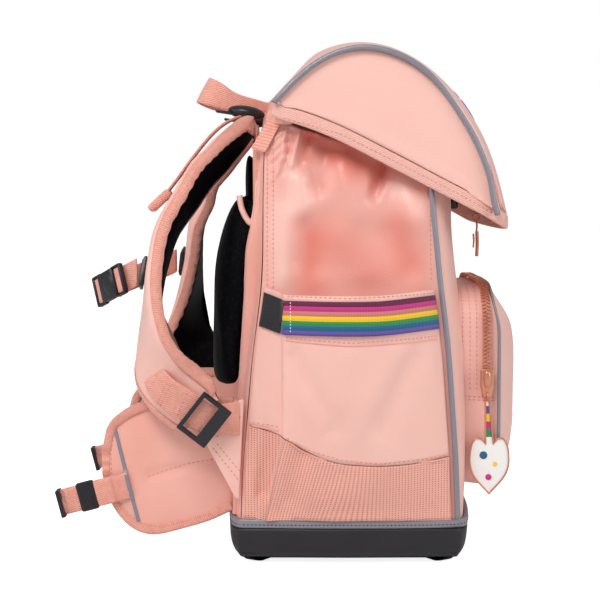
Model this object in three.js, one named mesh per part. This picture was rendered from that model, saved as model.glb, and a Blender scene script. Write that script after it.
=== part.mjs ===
// A school ransel: a boxy child's backpack with a domed flap, side pockets, a zipped front pocket and a hip belt.
// Millimetres. +Z is up, the bag's front faces -Y, the wearer's back is on +Y, and x is negative on the wearer's left.
// The origin is the middle of the flat foot under the moulded base.
import * as THREE from "three";

// Main body
const BODY_WIDTH = 240;
const BODY_DEPTH = 160;
const BODY_HEIGHT = 340;
const PANEL_WALL = 2.4;
const SEAM_GAP = 0.6;
const LAY_GAP = 0.5;
const SIDE_BULGE = 3;
const BACK_CROWN = 8;
const CORNER_POWER = 2.2;
const SIDE_DENT = 10;
const FRONT_CUT = 43;
const FRONT_TOP = BODY_HEIGHT - FRONT_CUT;

// Moulded base and its binding
const BASE_WALL = 3;
const BASE_RIM = 28.5;
const BASE_FLOOR = 8;
const FOOT_HEIGHT = 3.5;
const BINDING_HEIGHT = 6.5;

// Piping, webbing and buckles
const PIPING_RADIUS = 1.9;
const WEB_WIDTH = 25;
const WEB_WALL = 1.6;
const CHEST_WEB_WIDTH = 20;
const BUCKLE_WALL = 4;
const BUCKLE_BAR = 3.2;

// Flap
const FLAP_WIDTH = BODY_WIDTH + 2;
const FLAP_LENGTH = 172;
const FLAP_HEIGHT = 120;
const FLAP_REAR = 57;
const FLAP_DROP = 72;
const FLAP_FOOT = BODY_HEIGHT - FLAP_DROP;
const FLAP_WALL = 2.4;
const FLAP_CROWN = 14;
const FLAP_DIP = 8;
const FLAP_BINDING = 10;
const FLAP_BINDING_WALL = 3.2;

// Side pockets
const POCKET_BULGE = 34;
const POCKET_WALL = 1.8;
const POCKET_MOUTH = 208;
const POCKET_FOOT = 39;
const BAND_WIDTH = 25;
const BAND_DROP = 4;

// Front pocket
const FRONT_POCKET_WIDTH = 184;
const FRONT_POCKET_HEIGHT = 164;
const FRONT_POCKET_FOOT = 50;
const FRONT_POCKET_OUT = 19;
const FRONT_POCKET_CROWN = 19;
const FRONT_POCKET_WALL = 2;
const ZIP_WIDTH = 7;
const ZIP_BACK = 9;
const ZIP_END = 125;
const CHARM_WIDTH = 30;
const CHARM_FORWARD = 2;
const CHARM_HEIGHT = 74;
const CHARM_WALL = 2;
const SLIDER_LENGTH = 22;
const SLIDER_WALL = 4;
const PULL_WIDTH = 6;
const PULL_LENGTH = 50;
const PULL_DEPTH = 3;
const PULL_NECK = 14;
const PULL_ARM = 7;
const CLASP_WIDTH = 32;
const CLASP_HEIGHT = 26;
const CLASP_BELOW = 8;
const CLASP_DEPTH = 6;

// Back pads
const PAD_DEPTH = 23;
const PAD_FOOT = 129;
const PAD_BELOW_TOP = 59;
const PAD_TOP = BODY_HEIGHT - PAD_BELOW_TOP;
const PAD_CHANNEL = 26;
const UPPER_PAD_DEPTH = 5;
const UPPER_PAD_HEIGHT = 34;

// Shoulder straps
const STRAP_WIDTH = 58;
const STRAP_THICKNESS = 15;
const STRAP_SPACING = 108;
const STRAP_SPLAY = 66;
const STRAP_REACH = 77;
const STRAP_DROP = 217;
const STRAP_BELOW_TOP = 10;
const STRAP_SWAY = 14;
const LIFTER_BUCKLE_LENGTH = 23;
const LIFTER_BUCKLE_HEIGHT = 7.5;

// Hip belt
const WING_LENGTH = 101;
const WING_HEIGHT = 105;
const WING_FOOT = 19.5;
const WING_THICKNESS = 11;
const WING_SPACING = 198;
const WING_TOE_IN = 10;
const HIP_WEB_LENGTH = 54;
const HIP_PAD_DEPTH = 10;
const ANCHOR_LENGTH = 29;
const ANCHOR_TIP = 4;
const ANCHOR_INSET = 1.5;

// Grab handle and chest strap
const HANDLE_SPACING = 72;
const HANDLE_REACH = 48;
const HANDLE_WIDTH = 21;
const HANDLE_AT = 0.75;
const CHEST_REACH = 37;
const CHEST_SAG = 19;

// Plan of the body at a few heights. Height is a share of BODY_HEIGHT, rear, seam and front of BODY_DEPTH,
// and half of half BODY_WIDTH.
const BODY_ROWS = [
  { height: 0.026, rear: 0.51, seam: -0.525, front: -0.575, half: 0.98 },
  { height: 0.239, rear: 0.494, seam: -0.506, front: -0.606, half: 1.0 },
  { height: 0.351, rear: 0.469, seam: -0.488, front: -0.606, half: 1.005 },
  { height: 0.442, rear: 0.456, seam: -0.475, front: -0.6, half: 1.005 },
  { height: 0.533, rear: 0.431, seam: -0.456, front: -0.594, half: 1.0 },
  { height: 0.594, rear: 0.41, seam: -0.438, front: -0.578, half: 0.995 },
  { height: 0.645, rear: 0.403, seam: -0.425, front: -0.545, half: 0.985 },
  { height: 0.716, rear: 0.4, seam: -0.412, front: -0.531, half: 0.965 },
  { height: 0.838, rear: 0.4, seam: -0.388, front: -0.531, half: 0.925 },
  { height: 1.0, rear: 0.39, seam: -0.375, front: -0.525, half: 0.875 },
];
const FRONT_SHARE = 0.606;
const FRONT_POCKET_DEPTH = FRONT_SHARE * BODY_DEPTH + FRONT_POCKET_OUT;

// Soft forms of the side panel: centre and radius as shares of BODY_DEPTH and BODY_HEIGHT, depth of SIDE_DENT.
const SIDE_FORMS = [
  { y: -0.02, z: 0.7, ry: 0.27, rz: 0.11, depth: -1.0 },
  { y: 0.22, z: 0.86, ry: 0.07, rz: 0.09, depth: -0.55 },
  { y: 0.3, z: 0.8, ry: 0.05, rz: 0.12, depth: 0.3 },
  { y: -0.2, z: 0.83, ry: 0.06, rz: 0.05, depth: -0.5 },
];

// Arc of the flap seen from the side: back is a share of FLAP_LENGTH from the rear, up a share of FLAP_HEIGHT.
const FLAP_ARC = [
  { back: 0, up: 0.642 },
  { back: 0.122, up: 0.825 },
  { back: 0.25, up: 0.95 },
  { back: 0.401, up: 1 },
  { back: 0.576, up: 0.933 },
  { back: 0.744, up: 0.742 },
  { back: 0.89, up: 0.458 },
  { back: 0.977, up: 0.135 },
  { back: 1, up: 0 },
];

// Lower edge of the flap's side, along the middle of its binding, in the same shares.
const FLAP_EDGE = [
  { back: 0.02, up: 0.61 },
  { back: 0.122, up: 0.572 },
  { back: 0.3, up: 0.472 },
  { back: 0.47, up: 0.348 },
  { back: 0.64, up: 0.222 },
  { back: 0.81, up: 0.095 },
  { back: 0.93, up: 0.01 },
];

// Lower seam of the side pocket's fabric, above its mesh: along is from the rear, up a share of the pocket's height.
const POCKET_SEAM = [
  { along: 0, up: 0.405 },
  { along: 0.15, up: 0.37 },
  { along: 0.4, up: 0.26 },
  { along: 0.6, up: 0.236 },
  { along: 0.8, up: 0.24 },
  { along: 1, up: 0.265 },
];

// Run of a shoulder strap from its root: out, down and splay are shares of the strap's reach, drop and splay,
// roll turns its face outwards, in degrees, and width is a share of STRAP_WIDTH.
const STRAP_ROWS = [
  { out: 0, down: 0, splay: 0, roll: 0, width: 0.96 },
  { out: 0.07, down: -0.01, splay: 0.02, roll: -3, width: 0.98 },
  { out: 0.2, down: 0.035, splay: 0.08, roll: -8, width: 1 },
  { out: 0.37, down: 0.1, splay: 0.17, roll: -12, width: 1 },
  { out: 0.53, down: 0.163, splay: 0.27, roll: -12, width: 1 },
  { out: 0.665, down: 0.236, splay: 0.38, roll: -10, width: 1 },
  { out: 0.855, down: 0.355, splay: 0.55, roll: -5, width: 1 },
  { out: 0.95, down: 0.484, splay: 0.7, roll: 0, width: 1 },
  { out: 0.99, down: 0.62, splay: 0.84, roll: 8, width: 1 },
  { out: 0.975, down: 0.751, splay: 0.94, roll: 25, width: 0.98 },
  { out: 0.89, down: 0.845, splay: 0.99, roll: 52, width: 0.92 },
  { out: 0.72, down: 0.917, splay: 1, roll: 75, width: 0.86 },
  { out: 0.462, down: 0.991, splay: 1, roll: 82, width: 0.78 },
];

// Outline of a hip wing: out is a share of WING_LENGTH, low and high shares of WING_HEIGHT.
const WING_ROWS = [
  { out: 0, low: 0.19, high: 1 },
  { out: 0.18, low: 0.11, high: 1 },
  { out: 0.4, low: 0.045, high: 1 },
  { out: 0.6, low: 0, high: 0.985 },
  { out: 0.75, low: 0.03, high: 0.94 },
  { out: 0.87, low: 0.13, high: 0.87 },
  { out: 0.96, low: 0.28, high: 0.77 },
  { out: 1, low: 0.43, high: 0.6 },
];

// Back pads seen from the side: up is a share of the pad's height, depth of PAD_DEPTH.
const PAD_ROWS = [
  { up: 0, depth: 0.92 },
  { up: 0.3, depth: 1 },
  { up: 0.6, depth: 0.95 },
  { up: 0.78, depth: 0.72 },
  { up: 0.9, depth: 0.42 },
  { up: 1, depth: 0.16 },
];

const SHEET = { coral: 0xf4b3a6, blush: 0xf7c4ba, mesh: 0xf0a08c, webbing: 0xf2ab98 };
const FABRIC = { roughness: 0.55, metalness: 0 };
const DARK = 0x2c2a31;
const BLACK = 0x141417;
const GREY = 0x9396a0;
const ROSE_GOLD = 0xc98468;

const clamp01 = (t) => Math.min(1, Math.max(0, t));
const mix = (a, b, t) => a + (b - a) * t;
const vec = (x, y, z) => new THREE.Vector3(x, y, z);
const smooth = (t) => clamp01(t) ** 2 * (3 - 2 * clamp01(t));

// Reads a column of a table at a place on its key column, smoothly between rows.
function along(rows, key, column, place) {
  let i = 0;
  while (i < rows.length - 2 && rows[i + 1][key] < place) i += 1;
  const before = rows[Math.max(0, i - 1)];
  const [from, to] = [rows[i], rows[i + 1]];
  const after = rows[Math.min(rows.length - 1, i + 2)];
  const span = to[key] - from[key];
  const t = clamp01((place - from[key]) / span);
  const slopeFrom = ((to[column] - before[column]) / (to[key] - before[key])) * span;
  const slopeTo = ((after[column] - from[column]) / (after[key] - from[key])) * span;
  const [t2, t3] = [t * t, t * t * t];
  return (
    from[column] * (2 * t3 - 3 * t2 + 1) +
    slopeFrom * (t3 - 2 * t2 + t) +
    to[column] * (3 * t2 - 2 * t3) +
    slopeTo * (t3 - t2)
  );
}

// Turns points and faces into a geometry whose faces point out.
function solidFrom(points, faces) {
  let volume = 0;
  for (const [a, b, c] of faces) {
    volume += points[a].dot(points[b].clone().cross(points[c]));
  }
  const turned = volume < 0 ? faces.map(([a, b, c]) => [a, c, b]) : faces;
  const geometry = new THREE.BufferGeometry().setFromPoints(points);
  geometry.setIndex(turned.flat());
  geometry.computeVertexNormals();
  return geometry;
}

// A closed solid between two skins that are sampled on the same grid: outer(u, v) and inner(u, v), u and v from 0 to 1.
function slab(outer, inner, across, up) {
  const points = [];
  for (const skin of [outer, inner]) {
    for (let j = 0; j <= up; j += 1) {
      for (let i = 0; i <= across; i += 1) points.push(skin(i / across, j / up));
    }
  }
  const row = across + 1;
  const layer = row * (up + 1);
  const faces = [];
  const quad = (a, b, c, d) => faces.push([a, b, c], [a, c, d]);
  for (let j = 0; j < up; j += 1) {
    for (let i = 0; i < across; i += 1) {
      const a = j * row + i;
      quad(a, a + 1, a + row + 1, a + row);
      quad(layer + a, layer + a + row, layer + a + row + 1, layer + a + 1);
    }
    const [left, right] = [j * row, j * row + across];
    quad(left, left + row, layer + left + row, layer + left);
    quad(right, layer + right, layer + right + row, right + row);
  }
  for (let i = 0; i < across; i += 1) {
    const [low, high] = [i, up * row + i];
    quad(low, layer + low, layer + low + 1, low + 1);
    quad(high, high + 1, layer + high + 1, layer + high);
  }
  return solidFrom(points, faces);
}

// The normal of a skin at u, v, from its slopes inside the unit square.
function normalOf(skin, u, v) {
  const step = 1e-3;
  const [u0, u1] = [Math.max(0, u - step), Math.min(1, u + step)];
  const [v0, v1] = [Math.max(0, v - step), Math.min(1, v + step)];
  const alongU = skin(u1, v).sub(skin(u0, v));
  return alongU.cross(skin(u, v1).sub(skin(u, v0))).normalize();
}

// A wall of even thickness under a skin, on the side that holds the point named inside.
function wall(skin, thickness, across, up, inside) {
  const middle = skin(0.5, 0.5);
  const inwards = normalOf(skin, 0.5, 0.5).dot(inside.clone().sub(middle)) > 0 ? 1 : -1;
  const inner = (u, v) => skin(u, v).addScaledVector(normalOf(skin, u, v), inwards * thickness);
  return slab(skin, inner, across, up);
}

// A solid through closed rings of points, capped at both ends, or joined end to start when loop is true.
function loft(rings, loop = false) {
  const count = rings[0].length;
  const points = rings.flat();
  const faces = [];
  const last = loop ? rings.length : rings.length - 1;
  for (let k = 0; k < last; k += 1) {
    const [here, there] = [k * count, ((k + 1) % rings.length) * count];
    for (let i = 0; i < count; i += 1) {
      const next = (i + 1) % count;
      faces.push([here + i, here + next, there + next], [here + i, there + next, there + i]);
    }
  }
  if (!loop) {
    for (const [start, turned] of [[0, true], [(rings.length - 1) * count, false]]) {
      const centre = vec(0, 0, 0);
      for (let i = 0; i < count; i += 1) centre.addScaledVector(points[start + i], 1 / count);
      points.push(centre);
      for (let i = 0; i < count; i += 1) {
        const [a, b] = [start + i, start + ((i + 1) % count)];
        faces.push(turned ? [points.length - 1, b, a] : [points.length - 1, a, b]);
      }
    }
  }
  return solidFrom(points, faces);
}

// Unit sections for sweeps: s runs across the width and t through the thickness.
const FLAT_SECTION = [[-1, -1], [1, -1], [1, 1], [-1, 1]];
const PAD_SECTION = Array.from({ length: 10 }, (_, i) => {
  const angle = ((i + 0.5) / 10) * 2 * Math.PI;
  const round = (value) => Math.sign(value) * Math.abs(value) ** 0.5;
  return [round(Math.cos(angle)), round(Math.sin(angle))];
});

// A band swept through frames: each has a point, a width direction, a face direction and half sizes.
function sweep(frames, section, loop = false) {
  return loft(
    frames.map(({ point, across, face, halfWidth, halfWall }) =>
      section.map(([s, t]) =>
        point.clone().addScaledVector(across, s * halfWidth).addScaledVector(face, t * halfWall),
      ),
    ),
    loop,
  );
}

// A round cord or bead along points.
function tube(points, radius, steps, sides = 6) {
  const curve = new THREE.CatmullRomCurve3(points);
  const circle = new THREE.Shape();
  for (let i = 0; i < sides; i += 1) {
    const angle = (i / sides) * 2 * Math.PI;
    const place = [radius * Math.cos(angle), radius * Math.sin(angle)];
    if (i === 0) circle.moveTo(...place);
    else circle.lineTo(...place);
  }
  return new THREE.ExtrudeGeometry(circle, { steps, extrudePath: curve });
}

// Half width of the body's side panel at y, z, with its bulge and soft forms, which fade out towards the seams.
function bodyRow(z) {
  const place = z / BODY_HEIGHT;
  return {
    rear: along(BODY_ROWS, "height", "rear", place) * BODY_DEPTH,
    seam: along(BODY_ROWS, "height", "seam", place) * BODY_DEPTH,
    front: along(BODY_ROWS, "height", "front", place) * BODY_DEPTH,
    half: (along(BODY_ROWS, "height", "half", place) * BODY_WIDTH) / 2,
  };
}

function sideX(y, z) {
  const { rear, seam, half } = bodyRow(z);
  const t = clamp01((y - seam) / (rear - seam));
  const middle = 4 * t * (1 - t);
  let forms = 0;
  for (const form of SIDE_FORMS) {
    const dy = (y / BODY_DEPTH - form.y) / form.ry;
    const dz = (z / BODY_HEIGHT - form.z) / form.rz;
    forms += form.depth * SIDE_DENT * Math.exp(-dy * dy - dz * dz);
  }
  return half + SIDE_BULGE * middle + forms * smooth(3 * middle);
}

const roundedShare = (x, half) => (1 - Math.min(1, Math.abs(x) / half) ** CORNER_POWER) ** (1 / CORNER_POWER);

function frontY(x, z) {
  const { seam, front, half } = bodyRow(z);
  return mix(seam, front, roundedShare(x, half));
}

function backY(x, z) {
  const { rear, half } = bodyRow(z);
  return rear + BACK_CROWN * roundedShare(x, half);
}

// A point on the front or back panel, u running from the left seam to the right seam.
function crownPoint(u, z, atSeam, atMiddle, half) {
  const angle = Math.PI * u;
  const power = 2 / CORNER_POWER;
  const c = Math.cos(angle);
  const x = -half * Math.sign(c) * Math.abs(c) ** power;
  return vec(x, mix(atSeam, atMiddle, Math.abs(Math.sin(angle)) ** power), z);
}

const frontPoint = (u, z) => {
  const { seam, front, half } = bodyRow(z);
  return crownPoint(u, z, seam, front, half);
};

const backPoint = (u, z) => {
  const { rear, half } = bodyRow(z);
  return crownPoint(u, z, rear, rear + BACK_CROWN, half);
};

const BODY_LOW = BASE_FLOOR + SEAM_GAP;
const SIDE_TOP_FRONT = FRONT_TOP + 6;
const SIDE_TOP_REAR = BODY_HEIGHT - 4;

function sidePanel(side) {
  const skin = (u, v) => {
    const topZ = mix(SIDE_TOP_REAR, SIDE_TOP_FRONT, u);
    const z = mix(BODY_LOW, topZ, v);
    const { rear, seam } = bodyRow(z);
    const y = mix(rear - SEAM_GAP, seam + SEAM_GAP, u);
    return vec(side * sideX(y, z), y, z);
  };
  return wall(skin, PANEL_WALL, 10, 13, vec(0, 0, BODY_HEIGHT / 2));
}

function frontPanel() {
  const skin = (u, v) => frontPoint(u, mix(BODY_LOW, FRONT_TOP, v));
  return wall(skin, PANEL_WALL, 12, 7, vec(0, 0, BODY_HEIGHT / 2));
}

function backPanel() {
  const skin = (u, v) => backPoint(u, mix(BODY_LOW, BODY_HEIGHT, v));
  return wall(skin, PANEL_WALL, 12, 10, vec(0, 0, BODY_HEIGHT / 2));
}

// The body's closed outline in plan at one height, moved out by an offset along its own normal.
function planRing(z, offset, perSide = 3, perCrown = 12) {
  const { rear, seam } = bodyRow(z);
  const ring = [];
  for (let i = 0; i < perCrown; i += 1) ring.push(frontPoint(i / perCrown, z));
  for (let i = 0; i < perSide; i += 1) {
    const y = mix(seam, rear, i / perSide);
    ring.push(vec(sideX(y, z), y, z));
  }
  for (let i = 0; i < perCrown; i += 1) ring.push(backPoint(1 - i / perCrown, z));
  for (let i = 0; i < perSide; i += 1) {
    const y = mix(rear, seam, i / perSide);
    ring.push(vec(-sideX(y, z), y, z));
  }
  const count = ring.length;
  return ring.map((point, i) => {
    const before = ring[(i + count - 1) % count];
    const after = ring[(i + 1) % count];
    const outwards = vec(after.y - before.y, before.x - after.x, 0).normalize();
    return point.clone().addScaledVector(outwards, offset);
  });
}

const BINDING_LOW = BASE_RIM + LAY_GAP;
const BINDING_TOP = BINDING_LOW + BINDING_HEIGHT;

// The moulded tray, from the foot up its rounded outside and down inside to its floor.
function baseTray() {
  const out = SEAM_GAP + BASE_WALL;
  const outside = [
    { inset: 22, z: 0 },
    { inset: 16, z: FOOT_HEIGHT },
    { inset: 12, z: FOOT_HEIGHT + 0.5 },
    { inset: 6, z: FOOT_HEIGHT + 2.5 },
    { inset: 2, z: FOOT_HEIGHT + 7 },
    { inset: 0.4, z: FOOT_HEIGHT + 14 },
    { inset: 0, z: BASE_RIM },
  ];
  const rings = outside.map(({ inset, z }) => planRing(z, out - inset));
  for (const z of [BASE_RIM, mix(BASE_FLOOR, BASE_RIM, 0.4), BASE_FLOOR]) rings.push(planRing(z, SEAM_GAP));
  return loft(rings);
}

function baseBinding() {
  const [inner, outer] = [SEAM_GAP, SEAM_GAP + BASE_WALL];
  const rings = [outer, inner].flatMap((offset) =>
    (offset === outer ? [BINDING_LOW, BINDING_TOP] : [BINDING_TOP, BINDING_LOW]).map((z) => planRing(z, offset)),
  );
  return loft(rings, true);
}

// The grey bead on the seam between side and front panel.
function bodyPiping(side) {
  const points = [];
  const stand = PIPING_RADIUS + LAY_GAP;
  for (let i = 0; i <= 12; i += 1) {
    const z = mix(BINDING_TOP + LAY_GAP, FRONT_TOP, i / 12);
    const { seam, half } = bodyRow(z);
    points.push(vec(side * (half + stand), seam, z));
  }
  return tube(points, PIPING_RADIUS, 12);
}

// Side pocket: a pouch that bulges from the side panel, u from its rear edge to its front edge.
const POCKET_COLUMNS = 16;
const FOLD_AT = 2 / POCKET_COLUMNS;

function pocketY(u, z) {
  const { rear, seam } = bodyRow(z);
  return mix(rear - 2, seam + 2 * PIPING_RADIUS + 1, u);
}

const pocketMouth = (u) => POCKET_MOUTH + 3 - 5 * smooth(u / FOLD_AT) + 3 * smooth((u - 0.6) / 0.4);

function pocketX(u, z) {
  const height = clamp01((z - POCKET_FOOT) / (POCKET_MOUTH - POCKET_FOOT));
  const round = Math.sin(Math.PI * clamp01(u)) ** 0.75;
  const rise = 0.06 + 0.94 * height ** 0.7;
  return sideX(pocketY(u, z), z) + LAY_GAP + POCKET_WALL + POCKET_BULGE * round * rise;
}

const pocketSeamZ = (u) =>
  POCKET_FOOT + along(POCKET_SEAM, "along", "up", u) * (POCKET_MOUTH - POCKET_FOOT);

// A layer of the side pocket between two heights, which may change along it.
function pocketLayer(side, from, to, lowZ, highZ, lift, thickness, up) {
  const skin = (extra) => (u, v) => {
    const place = mix(from, to, u);
    const z = mix(lowZ(place), highZ(place), v);
    return vec(side * (pocketX(place, z) + extra), pocketY(place, z), z);
  };
  const columns = Math.round((to - from) * POCKET_COLUMNS);
  return slab(skin(lift), skin(lift - thickness), columns, up);
}

const pocketFabric = (side) =>
  pocketLayer(side, 0, 1, (u) => pocketSeamZ(u) + SEAM_GAP / 2, pocketMouth, 0, POCKET_WALL, 4);

const pocketMesh = (side) =>
  pocketLayer(side, 0, 1, () => POCKET_FOOT, (u) => pocketSeamZ(u) - SEAM_GAP / 2, 0, POCKET_WALL, 3);

const bandTop = (u) => pocketMouth(u) - BAND_DROP;

const pocketBand = (side) =>
  pocketLayer(side, FOLD_AT, 1, (u) => bandTop(u) - BAND_WIDTH, bandTop, LAY_GAP + WEB_WALL, WEB_WALL, 2);

const pocketTab = (side) =>
  pocketLayer(side, 0, FOLD_AT - 0.004, (u) => bandTop(u) - BAND_WIDTH, bandTop, LAY_GAP + WEB_WALL, WEB_WALL, 2);

// Outline of the front pocket in the XZ plane, angle from the right side round over the top.
const FRONT_POCKET_MID = FRONT_POCKET_FOOT + FRONT_POCKET_HEIGHT / 2;
const FRONT_POCKET_POWER = 2 / 5.5;

function frontPocketPlace(angle, grow, share = 1) {
  const round = (value) => Math.sign(value) * Math.abs(value) ** FRONT_POCKET_POWER;
  return {
    x: share * (FRONT_POCKET_WIDTH / 2 + grow) * round(Math.cos(angle)),
    z: FRONT_POCKET_MID + share * (FRONT_POCKET_HEIGHT / 2 + grow) * round(Math.sin(angle)),
  };
}

const POCKET_SIDES = 32;
const turn = (i) => ((i + 0.5) / POCKET_SIDES) * 2 * Math.PI;

function frontPocketRing(grow, yOf, share = 1) {
  return Array.from({ length: POCKET_SIDES }, (_, i) => {
    const { x, z } = frontPocketPlace(turn(i), grow, share);
    return vec(x, yOf(x, z), z);
  });
}

function frontPocketGusset() {
  const rear = (x, z) => frontY(x, z) - LAY_GAP - 0.6;
  const middle = (x, z) => (rear(x, z) - FRONT_POCKET_DEPTH) / 2;
  const front = () => -FRONT_POCKET_DEPTH;
  return loft(
    [
      frontPocketRing(-1, rear),
      frontPocketRing(1, middle),
      frontPocketRing(0, front),
      frontPocketRing(-FRONT_POCKET_WALL, front),
      frontPocketRing(1 - FRONT_POCKET_WALL, middle),
      frontPocketRing(-1 - FRONT_POCKET_WALL, rear),
    ],
    true,
  );
}

const frontPocketY = (share) => -FRONT_POCKET_DEPTH - SEAM_GAP - FRONT_POCKET_CROWN * (1 - share ** 2.6);

function frontPocketFace() {
  const shares = [0.15, 0.45, 0.7, 0.88, 1];
  const skin = (share, lift) => frontPocketRing(0, () => frontPocketY(share) + lift, share);
  const outside = shares.map((share) => skin(share, -FRONT_POCKET_WALL));
  const inside = shares.map((share) => skin(share, 0)).reverse();
  return loft([...outside, ...inside]);
}

function frontPocketPiping() {
  const grow = PIPING_RADIUS + LAY_GAP;
  const centres = frontPocketRing(grow, () => -FRONT_POCKET_DEPTH - SEAM_GAP);
  const rings = centres.map((centre) => {
    const outwards = vec(centre.x, 0, centre.z - FRONT_POCKET_MID).normalize();
    return Array.from({ length: 6 }, (_, i) => {
      const angle = (i / 6) * 2 * Math.PI;
      return centre
        .clone()
        .addScaledVector(outwards, PIPING_RADIUS * Math.cos(angle))
        .add(vec(0, PIPING_RADIUS * Math.sin(angle), 0));
    });
  });
  return loft(rings, true);
}

// The zip's chain over the left side, the top and the right side of the gusset.
function zipChain() {
  const y = -FRONT_POCKET_DEPTH + ZIP_BACK;
  const low = Math.asin(
    -(((FRONT_POCKET_MID - ZIP_END) / (FRONT_POCKET_HEIGHT / 2)) ** (1 / FRONT_POCKET_POWER)),
  );
  const steps = 28;
  const frames = [];
  for (let i = 0; i <= steps; i += 1) {
    const angle = mix(low, Math.PI - low, i / steps);
    const { x, z } = frontPocketPlace(angle, LAY_GAP + 1.4 + WEB_WALL / 2);
    const inner = frontPocketPlace(angle, 0);
    frames.push({
      point: vec(x, y, z),
      across: vec(0, 1, 0),
      face: vec(x - inner.x, 0, z - inner.z).normalize(),
      halfWidth: ZIP_WIDTH / 2,
      halfWall: WEB_WALL / 2,
    });
  }
  return sweep(frames, FLAT_SECTION);
}

// A flat piece: a shape in the YZ plane, given thickness outwards from a half width.
function sidePlate(side, shape, from, thickness) {
  const geometry = new THREE.ExtrudeGeometry(shape, { depth: thickness, bevelEnabled: false });
  const turned = new THREE.Matrix4().makeBasis(vec(0, 1, 0), vec(0, 0, 1), vec(1, 0, 0));
  geometry.applyMatrix4(turned);
  geometry.translate(side < 0 ? -from - thickness : from, 0, 0);
  return geometry;
}

const ZIP_FACE = FRONT_POCKET_WIDTH / 2 + LAY_GAP + 1.4 + WEB_WALL;
const ZIP_Y = -FRONT_POCKET_DEPTH + ZIP_BACK;

function zipSlider() {
  const [width, height] = [ZIP_WIDTH * 1.5, SLIDER_LENGTH];
  const shape = new THREE.Shape();
  shape.moveTo(ZIP_Y - width / 2, ZIP_END + height);
  shape.lineTo(ZIP_Y - width / 2, ZIP_END + height * 0.4);
  shape.lineTo(ZIP_Y - width * 0.3, ZIP_END);
  shape.lineTo(ZIP_Y + width * 0.3, ZIP_END);
  shape.lineTo(ZIP_Y + width / 2, ZIP_END + height * 0.4);
  shape.lineTo(ZIP_Y + width / 2, ZIP_END + height);
  shape.closePath();
  return sidePlate(-1, shape, ZIP_FACE + LAY_GAP, SLIDER_WALL);
}

// The zip pull's charm: a plain heart on a slim stem, below the slider.
function zipCharm() {
  const middle = ZIP_Y - CHARM_FORWARD;
  const top = ZIP_END - LAY_GAP;
  const foot = top - CHARM_HEIGHT;
  const [stemTop, stem, half, notch] = [CHARM_WALL * 0.7, CHARM_WALL * 1.5, CHARM_WIDTH / 2, mix(foot, top, 0.52)];
  const lobe = (notch - foot) * 0.2;
  const waist = mix(foot, notch, 0.68);
  const shape = new THREE.Shape();
  shape.moveTo(ZIP_Y - stemTop, top);
  shape.lineTo(middle - stem, notch);
  shape.bezierCurveTo(middle - half * 0.45, notch + lobe, middle - half, notch + lobe, middle - half, waist);
  shape.bezierCurveTo(middle - half, mix(foot, waist, 0.5), middle - half * 0.4, mix(foot, waist, 0.3), middle, foot);
  shape.bezierCurveTo(middle + half * 0.4, mix(foot, waist, 0.3), middle + half, mix(foot, waist, 0.5), middle + half, waist);
  shape.bezierCurveTo(middle + half, notch + lobe, middle + half * 0.45, notch + lobe, middle + stem, notch);
  shape.lineTo(ZIP_Y + stemTop, top);
  shape.closePath();
  return sidePlate(-1, shape, ZIP_FACE + 3 * LAY_GAP, CHARM_WALL);
}

// Flap: place on the arc at t from rear to front, with the arc's outward direction.
const flapPoint = ({ back, up }) => vec(0, FLAP_REAR - back * FLAP_LENGTH, FLAP_FOOT + up * FLAP_HEIGHT);
const flapArc = new THREE.CatmullRomCurve3(FLAP_ARC.map(flapPoint));
const flapEdge = new THREE.CatmullRomCurve3(FLAP_EDGE.map(flapPoint));

function flapNormal(t) {
  const tangent = flapArc.getTangentAt(t);
  return vec(0, tangent.z, -tangent.y).normalize();
}

const crownShare = (x) => 1 - Math.min(1, Math.abs(x) / (FLAP_WIDTH / 2)) ** 2.4;

function flapSkin(x, t) {
  return flapArc
    .getPointAt(t)
    .addScaledVector(flapNormal(t), FLAP_CROWN * crownShare(x))
    .add(vec(x, 0, -FLAP_DIP * crownShare(x) * smooth((t - 0.75) / 0.25)));
}

function flapTop() {
  const half = FLAP_WIDTH / 2 - FLAP_WALL - LAY_GAP;
  const skin = (u, v) => {
    const x = mix(-half, half, u);
    return flapSkin(x, v * (1 - 0.015 * (x / half) ** 6));
  };
  return wall(skin, FLAP_WALL, 10, 14, vec(0, 0, BODY_HEIGHT / 2));
}

// The half-moon between the arc and the binding, which ends in a slanted point at the front.
function flapSide(side) {
  const [first, lastLow, lastHigh] = [0.035, 0.92, 0.97];
  const skin = (lift) => (u, v) => {
    const place = mix(first, lastLow, u);
    const tangent = flapEdge.getTangentAt(place);
    const rise = vec(0, tangent.z, -tangent.y).normalize();
    const low = flapEdge.getPointAt(place).addScaledVector(rise, FLAP_BINDING / 2 + SEAM_GAP);
    const point = low.lerp(flapArc.getPointAt(mix(first, lastHigh, u)), v);
    const bulge = 1.2 * 16 * v * (1 - v) * u * (1 - u);
    point.x = side * (FLAP_WIDTH / 2 + bulge - lift);
    return point;
  };
  return slab(skin(0), skin(FLAP_WALL), 14, 3);
}

function flapPiping(side) {
  const points = [];
  const stand = (PIPING_RADIUS + LAY_GAP) * 0.75;
  for (let i = 0; i <= 16; i += 1) {
    const t = mix(0.012, 0.985, i / 16);
    const point = flapArc.getPointAt(t).addScaledVector(flapNormal(t), stand);
    points.push(point.add(vec(side * (FLAP_WIDTH / 2 + stand), 0, 0)));
  }
  return tube(points, PIPING_RADIUS, 22);
}

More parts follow.
